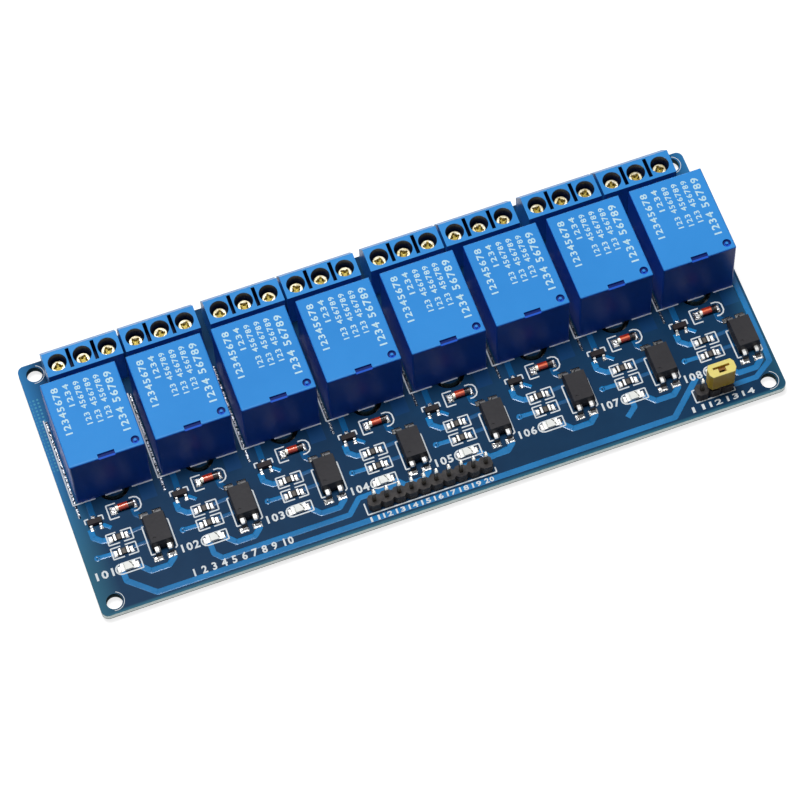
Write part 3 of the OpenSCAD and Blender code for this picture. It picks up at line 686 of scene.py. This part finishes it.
# arcs round the mounting holes, from the first relay's front left foot as the outlines are
hole_rims = [
    ring(((EDGE_X - HOLE_FROM_CORNER[0]) * side_x - RELAY_LOW.x,
          (EDGE_Y - HOLE_FROM_CORNER[1]) * side_y - RELAY_LOW.y), HOLE_RIM, 48, -14, 9)
    for side_x in (-1, 1) for side_y in (-1, 1)
]
ink_pieces = [
    lay_strips("channel_ink", channel_outlines, INK_W, INK_T, ink_finish, INK_Z, CHANNELS,
               INK_BEND),
    lay_strips("header_ink", header_outlines, INK_W, INK_T, ink_finish, INK_Z, 1, INK_BEND),
    lay_strips("hole_ink", hole_rims, RIM_INK_W, INK_T, ink_finish, INK_Z, 1, 0.0),
]


def print_number(name, text, middle, tall, span, height, finish, turn=0.0, bold=0.03):
    """A plain number printed flat: its middle in place, so tall and the whole so wide."""
    letters = bpy.data.curves.new(name, "FONT")
    letters.body = text
    letters.size = 1.0
    letters.space_character = 1.15
    letters.resolution_u = 2
    letters.offset = bold
    shape = bpy.data.objects.new(name + "_curve", letters)
    scene.collection.objects.link(shape)
    flat = finished_mesh(shape)
    bpy.data.objects.remove(shape)
    low = [min(vert.co[axis] for vert in flat.vertices) for axis in (0, 1)]
    high = [max(vert.co[axis] for vert in flat.vertices) for axis in (0, 1)]
    scale = (span / (high[0] - low[0]), tall / (high[1] - low[1]))
    turned = Euler((0.0, 0.0, math.radians(turn))).to_matrix()
    for vert in flat.vertices:
        x = (vert.co.x - (low[0] + high[0]) / 2) * scale[0] * MM
        y = (vert.co.y - (low[1] + high[1]) / 2) * scale[1] * MM
        vert.co = turned @ Vector((x, y, 0.0)) + Vector((middle[0] * MM, middle[1] * MM, height))
    flat.materials.clear()
    flat.materials.append(finish.material)
    piece = bpy.data.objects.new(name, flat)
    scene.collection.objects.link(piece)
    return piece


for channel in range(CHANNELS):
    ink_pieces.append(print_number(
        f"channel_number_{channel + 1}", str(101 + channel),
        from_foot(channel * RELAY_PITCH + 0.42, -16.15),
        tall=1.75, span=3.6, height=NUMBER_Z, finish=ink_finish))
for pin in range(10):
    ink_pieces.append(print_number(
        f"pin_number_{pin}", str(11 + pin), from_foot(52.95 + PIN_PITCH * pin, -23.1),
        tall=1.05, span=1.9, height=FRONT_NUMBER_Z, finish=ink_finish))
for number, (text, middle_x, span) in enumerate((
        ("11", 119.9, 2.6), ("12", 123.5, 2.6), ("1314", 128.7, 5.8))):
    ink_pieces.append(print_number(
        f"power_number_{number}", text, from_foot(middle_x, -22.95),
        tall=1.2, span=span, height=FRONT_NUMBER_Z, finish=ink_finish))
ink_pieces.append(print_number(
    "row_numbers", "1 2 3 4 5 6 7 8 9 10", from_foot(26.6, -21.75),
    tall=1.7, span=20.2, height=FRONT_NUMBER_Z, finish=ink_finish))
attach(join_pieces("printed_legend", ink_pieces))

# ---------------------------------------------------------------------------
# Solder at the small parts. Each lead stands in a low bright mound on its own
# tinned pad, the same in all eight channels.
# ---------------------------------------------------------------------------
PAD_SLOPE = 0.3
SPECK_ABOVE = 0.53              # share of the noise over which flux leaves a dark speck
SPECK_AND_REFLECTION_COLOR = (0.03, 0.03, 0.03)
SPECK_AND_REFLECTION_SHOWS = 0.95
BEHIND_REFLECTION_SHOWS = 0.93
BACK_PARTS_Y = (-7.5, -2.9)     # diode, transistor and the backs of the optocouplers
FILLET_X = ((3.98, 4.5), (6.15, 6.62))
RESISTORS_Y = (-13.8, -8.5)
OPTO_X = (10.0, 15.0)
OPTO_BACK_Y = (-7.6, -6.0)

pad_places = [
    # left, right, front, back, height; from the relay's front left foot
    # resistors
    (3.15, 4.45, -10.25, -8.75, 0.30), (6.15, 7.4, -10.25, -8.75, 0.30),
    (3.2, 4.5, -13.45, -12.0, 0.30), (6.2, 7.45, -13.45, -12.0, 0.30),
    # chip light
    (2.9, 3.85, -16.9, -15.35, 0.25), (6.55, 7.5, -16.9, -15.35, 0.25),
    # diode
    (5.3, 6.75, -4.85, -2.95, 0.35), (9.95, 10.9, -4.75, -2.95, 0.35),
    # optocoupler, in front and behind
    (10.2, 12.1, -17.1, -15.85, 0.16), (12.95, 14.85, -17.1, -15.85, 0.16),
    (10.2, 12.1, -7.45, -6.2, 0.16), (12.95, 14.85, -7.45, -6.2, 0.16),
    # transistor
    (0.55, 1.35, -6.7, -5.95, 0.14), (2.45, 3.25, -6.7, -5.95, 0.14),
    (1.5, 2.3, -4.15, -3.4, 0.14),
]


class MetalFinish(MouldedFinish):
    """A bare metal with a dull film here and there."""

    def __init__(self, name, color, other, rough,
                 spread=0.15, bump=0.15, depth=0.00002, patch=300.0, grain=1800.0):
        super().__init__(name, color, other, patch, grain, rough, spread, bump, depth)
        self.shade("Metallic", 1.0)


solder_finish = MetalFinish(
    "bright_solder", (0.88, 0.88, 0.88), (0.50, 0.50, 0.48),
    rough=0.25, spread=0.2, bump=0.8, depth=0.00008, patch=900.0, grain=2500.0)
pad_x, pad_y = in_channel(solder_finish)[:2]
specks = solder_finish.product(
    solder_finish.above(solder_finish.noise(3600.0, 1.0).outputs["Fac"], SPECK_ABOVE),
    solder_finish.largest(
        solder_finish.inside(pad_y, *BACK_PARTS_Y), solder_finish.inside(pad_x, *OPTO_X)))
# painted reflection: at a resistor the fillet is steep and mirrors the dark part, and so
# does the solder behind an optocoupler
fillets = solder_finish.product(
    solder_finish.largest(*(solder_finish.inside(pad_x, *side) for side in FILLET_X)),
    solder_finish.inside(pad_y, *RESISTORS_Y))
behind = solder_finish.patch(pad_x, pad_y, *OPTO_X, *OPTO_BACK_Y)
# dark flux specks, together with the painted reflections
specks_and_reflections = solder_finish.largest(specks, fillets, solder_finish.product(behind, BEHIND_REFLECTION_SHOWS))
solder_finish.paint(solder_finish.product(specks_and_reflections, SPECK_AND_REFLECTION_SHOWS), SPECK_AND_REFLECTION_COLOR)
dress("solder_joints", solder_finish)


def row_maker():
    """Node tree: repeats a mesh along X."""
    tree = bpy.data.node_groups.new("row_maker", "GeometryNodeTree")
    start, end = group_sockets(
        tree,
        [("Mesh", "Geometry", None), ("Copies", "Int", 1), ("Pitch", "Float", 0.01),
         ("Material", "Material", None)],
        [("Row", "Geometry")])
    tree.links.new(repeat_and_coat(tree, start, start.outputs["Mesh"]), end.inputs["Row"])
    return tree


rows = row_maker()


def one_per_channel(name, seed_mesh, finish):
    """A mesh of the first channel, repeated in all of them and joined into one piece."""
    return join_pieces(name, [grow(name + "_row", seed_mesh, rows, {
        "Copies": CHANNELS, "Pitch": RELAY_PITCH * MM, "Material": finish.material})])


def mound(whole, left, right, front, back, base, high, slope):
    """Adds a low block with sloping sides, in millimetres, with its foot at base in metres."""
    rings = []
    for inset, up in ((0.0, 0.0), (slope * 0.35, high * 0.6), (slope, high)):
        rings.append([whole.verts.new((x * MM, y * MM, base + up * MM)) for x, y in (
            (left + inset, front + inset), (right - inset, front + inset),
            (right - inset, back - inset), (left + inset, back - inset))])
    for lower, upper in zip(rings, rings[1:]):
        for k in range(4):
            whole.faces.new((lower[k], lower[(k + 1) % 4], upper[(k + 1) % 4], upper[k]))
    whole.faces.new(rings[-1])
    whole.faces.new(rings[0][::-1])


pads = bmesh.new()
for left, right, front, back, high in pad_places:
    (left, front), (right, back) = from_foot(left, front), from_foot(right, back)
    mound(pads, left, right, front, back, BOARD_TOP, high, PAD_SLOPE)
pad_mesh = bpy.data.meshes.new("pad_seed")
pads.to_mesh(pad_mesh)
pads.free()
attach(one_per_channel("solder_pads", pad_mesh, solder_finish))

# ---------------------------------------------------------------------------
# Tinned strips. A bare strip of copper along each relay's left side, thickly
# and unevenly coated with solder so that it carries more current.
# ---------------------------------------------------------------------------
STRIP_W = 0.5
STRIP_T = 0.10
STRIP_SLOPE = 0.12
STRIP_RUNS = [[(-0.52, 19.0), (-0.52, 0.05)], [(-0.52, -0.35), (-0.52, -3.2)]]
STRIP_SHADE_SHOWS = 0.85               # how strongly painted shade dims the right-hand strips
STRIP_SHADE_X = (-0.030, -0.012)  # and between which places the painted shade comes in, in metres
STRIP_SPECK_AND_SHADE_COLOR = (0.01, 0.015, 0.03)

strip_finish = MetalFinish(
    "rough_solder", (0.90, 0.92, 0.94), (0.40, 0.42, 0.46),
    rough=0.22, spread=0.2, bump=1.0, depth=0.00025, patch=1500.0, grain=2600.0)
# dark specks in the solder, and painted shade that dims the strips towards the board's right-hand
# end
strip_finish.paint(strip_finish.largest(
    strip_finish.above(strip_finish.noise(2400.0, 2.0).outputs["Fac"], SPECK_ABOVE),
    strip_finish.between(strip_finish.axes()[0], 0.0, STRIP_SHADE_SHOWS, *STRIP_SHADE_X)), STRIP_SPECK_AND_SHADE_COLOR)
strip_row = lay_strips("strip_runs", STRIP_RUNS, STRIP_W, STRIP_T, strip_finish, BOARD_TOP,
                       CHANNELS, 0.0, STRIP_SLOPE)
attach(join_pieces("tinned_strips", [strip_row]))

# ---------------------------------------------------------------------------
# Relays. Glossy moulded cases, a dark base, and inside them the iron, the coil
# and the contacts. The notch and the vent in each top are sunk, with painted shade on their floors.
# ---------------------------------------------------------------------------
CASE_LOW, CASE_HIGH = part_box("relay_case_1")
CASE_TOP = CASE_HIGH.z
CASE_H = (CASE_HIGH.z - CASE_LOW.z) / MM
CASE_W = (CASE_HIGH.x - CASE_LOW.x) / MM
CASE_SUNK = (CASE_H - 0.6, CASE_H - 0.4)    # height of the sunk floors
CASE_EDGE = 0.12                            # the sides' painted shade starts this far below the top
CASE_SIDE_SHADE_COLOR = (0.016, 0.105, 0.62)
SUNK_SHADE_COLOR = (0.004, 0.020, 0.16)
NOTCH_HALF_W = 1.8
NOTCH_Y = (0.42, 1.1)
VENT_FROM_CORNER = 1.5
VENT_RING = (0.45, 1.0)
VENT_FRONT = -0.25              # the vent's floor has painted shade behind this line

case_finish = MouldedFinish(
    "relay_plastic", (0.034, 0.275, 0.74), (0.044, 0.315, 0.82),
    patch=35.0, grain=700.0, rough=0.26, bump=0.12, depth=0.00004, specular=0.14)
case_x, case_y, case_z = in_channel(case_finish)
# painted shade: the upright sides are a deeper, darker blue than the lit top
case_finish.paint(case_finish.below(case_z, CASE_H - CASE_EDGE), CASE_SIDE_SHADE_COLOR)
notch = case_finish.patch(
    case_x, case_y, CASE_W / 2 - NOTCH_HALF_W, CASE_W / 2 + NOTCH_HALF_W, *NOTCH_Y)
vent_x = case_finish.minus(case_x, CASE_W - VENT_FROM_CORNER)
vent_y = case_finish.minus(case_y, VENT_FROM_CORNER)
vent_radius = case_finish.figure("SQRT", case_finish.square_sum(vent_x, vent_y))
vent = case_finish.product(
    case_finish.inside(vent_radius, *VENT_RING), case_finish.above(vent_y, VENT_FRONT))
# painted shade on the sunk floors of the notch and the vent
case_finish.paint(case_finish.product(
    case_finish.inside(case_z, *CASE_SUNK), case_finish.largest(notch, vent)), SUNK_SHADE_COLOR)

iron = MetalFinish("plated_iron", (0.50, 0.51, 0.53), (0.38, 0.39, 0.41), rough=0.35)
tinned = MetalFinish("tinned_metal", (0.84, 0.84, 0.84), (0.58, 0.58, 0.56), rough=0.22)
for relay in range(1, CHANNELS + 1):
    dress(f"relay_case_{relay}", case_finish)
    dress(f"relay_armature_{relay}", iron)
dress("relay_yokes", iron)
dress("relay_pins", tinned)
dress("relay_bases", MouldedFinish(
    "relay_base_plastic", (0.02, 0.04, 0.12), (0.03, 0.05, 0.14),
    patch=80.0, grain=900.0, rough=0.5))
dress("relay_bobbins", MouldedFinish(
    "bobbin_plastic", (0.66, 0.64, 0.56), (0.58, 0.56, 0.48),
    patch=120.0, grain=900.0, rough=0.45))
dress("relay_coils", MetalFinish("copper_wire", (0.78, 0.36, 0.16), (0.60, 0.26, 0.12), rough=0.3))
dress("relay_contacts", MetalFinish(
    "contact_brass", (0.82, 0.60, 0.28), (0.66, 0.46, 0.22), rough=0.28))

# ---------------------------------------------------------------------------
# Rows of plain figures in pale ink on the relays' tops, read from the board's
# right-hand end. They are printed on the case, the same on all eight.
# ---------------------------------------------------------------------------
CASE_INK_Z = CASE_TOP + 0.015 * MM
CASE_INK_TURN = 90.0
CASE_INK_BOLD = 0.02

figure_rows = [
    # text, across the case, figure height, from, to along the case
    ("12345678", 2.3, 1.45, 6.8, 17.3),
    ("1234", 4.6, 1.2, 12.4, 17.4),
    ("123 456789", 6.7, 1.2, 7.6, 17.4),
    ("123 456789", 8.75, 1.2, 7.4, 17.4),
    ("123 456789", 10.75, 1.2, 7.6, 17.4),
    ("1234 56789", 12.95, 1.6, 3.9, 17.3),
]
case_ink = MouldedFinish(
    "case_ink", (0.66, 0.88, 0.94), (0.46, 0.76, 0.92),
    patch=900.0, grain=3000.0, rough=0.5, depth=0.00001, specular=0.3)
one_top = join_pieces("case_marks_seed", [
    print_number(f"figures_{number}", text, from_foot(across, (near + far) / 2), tall=tall,
                 span=far - near, height=CASE_INK_Z, finish=case_ink, turn=CASE_INK_TURN,
                 bold=CASE_INK_BOLD)
    for number, (text, across, tall, near, far) in enumerate(figure_rows)])
one_top_mesh = one_top.data
bpy.data.objects.remove(one_top)
attach(one_per_channel("case_marks", one_top_mesh, case_ink))

# ---------------------------------------------------------------------------
# Screw terminals. Satin blue blocks, a plated screw down each round well and a
# wire cage behind each mouth in the back face.
# ---------------------------------------------------------------------------
BLOCK_LOW, BLOCK_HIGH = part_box("terminal_block_1")
BLOCK_H = (BLOCK_HIGH.z - BLOCK_LOW.z) / MM
BLOCK_NEXT = (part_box("terminal_block_2")[0].x - BLOCK_LOW.x) / MM
BLOCK_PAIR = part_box("terminal_block_3")[0].x - BLOCK_LOW.x
BLOCK_SHARE = 0.2               # a block's own place starts this far to its left
BLOCK_FACE = 0.2                # the painted shade in the wells and slots stops this far below the top
WELL_SHADE_COLOR = (0.002, 0.012, 0.065)
POLE_PITCH = (BLOCK_HIGH.x - BLOCK_LOW.x) / MM / 3
SCREW_LOW, SCREW_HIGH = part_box("terminal_screws")
WELL_Y = ((SCREW_LOW.y + SCREW_HIGH.y) / 2 - BLOCK_LOW.y) / MM
WELL_RADIUS = 1.93
SLOT_HALF_W = 0.42
SLOT_FROM_END = 1.0
SLOT_Y = (-2.1, 2.4)            # front and back of a slot, from the middle of the wells
RECESS_DEPTH = 0.3
RECESS_SHADE_COLOR = (0.34, 0.27, 0.07)

block_finish = MouldedFinish(
    "terminal_plastic", (0.030, 0.27, 0.70), (0.038, 0.31, 0.78),
    patch=60.0, grain=900.0, rough=0.30, bump=0.15, depth=0.00003, specular=0.25)
# painted shade in the round wells and the slots between the poles, on whichever block of a pair
block_x, block_y, block_z = in_channel(block_finish, BLOCK_LOW, BLOCK_PAIR, BLOCK_SHARE * MM)
second_block = block_finish.above(block_x, BLOCK_NEXT - BLOCK_SHARE)
block_x = block_finish.minus(block_x, block_finish.product(second_block, BLOCK_NEXT))
pole_x = block_finish.minus(
    block_finish.figure("FLOORED_MODULO", block_x, POLE_PITCH), POLE_PITCH / 2)
pole_y = block_finish.minus(block_y, WELL_Y)
well_radius = block_finish.figure("SQRT", block_finish.square_sum(pole_x, pole_y))
wells = block_finish.below(well_radius, WELL_RADIUS)
pole_slots = block_finish.product(
    block_finish.above(block_finish.plain_size(pole_x), POLE_PITCH / 2 - SLOT_HALF_W),
    block_finish.inside(block_x, SLOT_FROM_END, 3 * POLE_PITCH - SLOT_FROM_END),
    block_finish.inside(pole_y, *SLOT_Y))
below_face = block_finish.below(block_z, BLOCK_H - BLOCK_FACE)
block_finish.paint(
    block_finish.product(block_finish.largest(wells, pole_slots), below_face), WELL_SHADE_COLOR)
for block in range(1, CHANNELS + 1):
    dress(f"terminal_block_{block}", block_finish)

screw_finish = MetalFinish(
    "screw_brass", (1.0, 0.95, 0.78), (0.62, 0.52, 0.26),
    rough=0.28, bump=0.6, depth=0.00006, patch=700.0)
# painted shade on the screw below its top face, in the cross recess
screw_finish.paint(
    screw_finish.below(screw_finish.axes()[2], SCREW_HIGH.z - RECESS_DEPTH * MM), RECESS_SHADE_COLOR)
dress("terminal_screws", screw_finish)
dress("terminal_clamps", tinned)
dress("terminal_pins", tinned)

# ---------------------------------------------------------------------------
# Optocouplers and transistors. Black moulded packages on tinned leads, soldered
# to their pads and standing a hair clear of the board.
# ---------------------------------------------------------------------------
LEAD_X = ((11.0, 11.65), (13.55, 14.2))     # middles of a pair of leads
LEAD_SHOULDER_Z = 1.45
LEAD_FRONT_Y = -9.0
LEAD_SHADE_COLOR = (0.04, 0.04, 0.044)
LEAD_SHADE_SHOWS = 0.92

opto_finish = MouldedFinish(
    "package_plastic", (0.022, 0.021, 0.025), (0.034, 0.033, 0.037),
    patch=120.0, grain=1500.0, rough=0.42, bump=0.5, depth=0.00005, specular=0.15)
for channel in range(1, CHANNELS + 1):
    dress(f"optocoupler_{channel}", opto_finish)
# the leads are bright on the shoulders in front; elsewhere painted shade and a painted reflection
# of the dark body and relay darken them
lead_finish = MetalFinish("opto_leads", (0.86, 0.86, 0.86), (0.62, 0.62, 0.60), rough=0.22)
lead_x, lead_y, lead_z = in_channel(lead_finish)
lead_bright = lead_finish.product(
    lead_finish.largest(*(lead_finish.inside(lead_x, *middle) for middle in LEAD_X)),
    lead_finish.above(lead_z, LEAD_SHOULDER_Z), lead_finish.below(lead_y, LEAD_FRONT_Y))
lead_painted_shade = lead_finish.figure("MULTIPLY_ADD", lead_bright, -LEAD_SHADE_SHOWS, LEAD_SHADE_SHOWS)
lead_finish.paint(lead_painted_shade, LEAD_SHADE_COLOR)
dress("optocoupler_leads", lead_finish)
dress("transistors", MouldedFinish(
    "transistor_plastic", (0.014, 0.007, 0.010), (0.006, 0.004, 0.005),
    patch=300.0, grain=2500.0, rough=0.4, specular=0.2))
dress("transistor_leads", tinned)

# ---------------------------------------------------------------------------
# Chip resistors. Black glaze over a ceramic chip, with a pale printed mark, and
# a tinned end wrapped round each side.
# ---------------------------------------------------------------------------
MARK_X = (5.05, 5.60)
MARK_Y = ((-10.1, -9.15), (-13.3, -12.35))
MARK_COLOR = (0.30, 0.27, 0.24)
MARK_SHOWS = 0.35

glaze_finish = MouldedFinish(
    "resistor_glaze", (0.010, 0.009, 0.010), (0.024, 0.022, 0.021),
    patch=600.0, grain=2500.0, rough=0.25, specular=0.3)
mark_x, mark_y = in_channel(glaze_finish)[:2]
mark = glaze_finish.product(
    glaze_finish.inside(mark_x, *MARK_X),
    glaze_finish.largest(*(glaze_finish.inside(mark_y, *place) for place in MARK_Y)))
glaze_finish.paint(glaze_finish.product(mark, MARK_SHOWS), MARK_COLOR)
dress("resistors", glaze_finish)
dress("resistor_ends", tinned)

# ---------------------------------------------------------------------------
# Chip lights. Milky resin over a small die, between two tinned ends. The dark
# corner of the die's frame shows through at the right-hand end.
# ---------------------------------------------------------------------------
FRAME_LEAN = 0.6
FRAME_LINE = (-3.75, -3.5)
FRAME_COLOR = (0.10, 0.10, 0.09)

resin_finish = MouldedFinish(
    "light_resin", (0.95, 0.96, 0.92), (0.84, 0.86, 0.82), patch=600.0, grain=2500.0, rough=0.3)
frame_x, frame_y = in_channel(resin_finish)[:2]
frame_line = resin_finish.figure("ADD", frame_x, resin_finish.product(frame_y, FRAME_LEAN))
resin_finish.paint(resin_finish.inside(frame_line, *FRAME_LINE), FRAME_COLOR)
dress("chip_lights", resin_finish)
dress("chip_light_ends", tinned)

# ---------------------------------------------------------------------------
# Diodes. A red glass bead between two plated caps, with a dark band and a dark
# cap at its right-hand end. A painted highlight runs along the top of the glass.
# ---------------------------------------------------------------------------
DARK_END = 9.0
HIGHLIGHT_Y = (-4.20, -3.85)
PAINTED_HIGHLIGHT_COLOR = (0.98, 0.20, 0.08)
BAND_COLOR = (0.010, 0.008, 0.010)
DARK_CAP_COLOR = (0.07, 0.06, 0.06)

diode_finish = MouldedFinish(
    "diode_glass", (0.52, 0.045, 0.016), (0.28, 0.016, 0.008),
    patch=700.0, grain=2500.0, rough=0.10)
diode_x, diode_y = in_channel(diode_finish)[:2]
# painted highlight along the top of the glass
diode_finish.paint(diode_finish.inside(diode_y, *HIGHLIGHT_Y), PAINTED_HIGHLIGHT_COLOR)
diode_finish.paint(diode_finish.above(diode_x, DARK_END), BAND_COLOR)
dress("diodes", diode_finish)
cap_finish = MetalFinish("diode_cap", (0.84, 0.82, 0.72), (0.66, 0.62, 0.52), rough=0.3)
cap_finish.paint(cap_finish.above(in_channel(cap_finish)[0], DARK_END), DARK_CAP_COLOR)
dress("diode_caps", cap_finish)

# ---------------------------------------------------------------------------
# Headers. Matt black bases hold plated square pins. The pins are bright at
# their tips, and further down they carry a painted reflection of the dark bases.
# ---------------------------------------------------------------------------
PIN_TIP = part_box("signal_pins")[1].z
PIN_BRIGHT = 1.2
PIN_REFLECTION_COLOR = (0.10, 0.09, 0.075)

header_finish = MouldedFinish(
    "header_plastic", (0.012, 0.011, 0.014), (0.058, 0.052, 0.050),
    patch=700.0, grain=1500.0, rough=0.45, bump=0.6, depth=0.00008, specular=0.2)
pin_finish = MetalFinish("plated_pins", (0.96, 0.95, 0.90), (0.84, 0.82, 0.74), rough=0.3)
# painted reflection of the dark bases on the pins below their tips
pin_finish.paint(pin_finish.below(pin_finish.axes()[2], PIN_TIP - PIN_BRIGHT * MM), PIN_REFLECTION_COLOR)
for header in ("signal", "power"):
    dress(f"{header}_header", header_finish)
    dress(f"{header}_pins", pin_finish)

# ---------------------------------------------------------------------------
# Jumper. A translucent yellow cap that bridges the two right-hand pins of the
# short header, with a folded brass clip inside it.
# ---------------------------------------------------------------------------
JUMPER_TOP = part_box("jumper_cap")[1].z
JUMPER_EDGE = 0.3               # the top's painted light reaches this far down
JUMPER_TOP_LIGHT_COLOR = (1.0, 0.83, 0.24)

jumper_finish = MouldedFinish(
    "jumper_plastic", (1.0, 0.66, 0.06), (0.98, 0.58, 0.04),
    patch=200.0, grain=1500.0, rough=0.35, specular=0.15)
# painted light: the top is paler than the deeper yellow sides
jumper_finish.paint(
    jumper_finish.above(jumper_finish.axes()[2], JUMPER_TOP - JUMPER_EDGE * MM), JUMPER_TOP_LIGHT_COLOR)
jumper_finish.shade("Subsurface Weight", 0.2)
jumper_finish.shader.inputs["Subsurface Radius"].default_value = (1.0, 0.8, 0.25)
jumper_finish.shade("Subsurface Scale", 0.004)
dress("jumper_cap", jumper_finish)
# the clip inside the cap is coloured dark brass, as painted shade
dress("jumper_clip", MetalFinish("dull_brass", (0.20, 0.10, 0.035), (0.10, 0.05, 0.02), rough=0.45))

# ---------------------------------------------------------------------------
# The plain view transform
# ---------------------------------------------------------------------------
scene.view_settings.view_transform = "Standard"
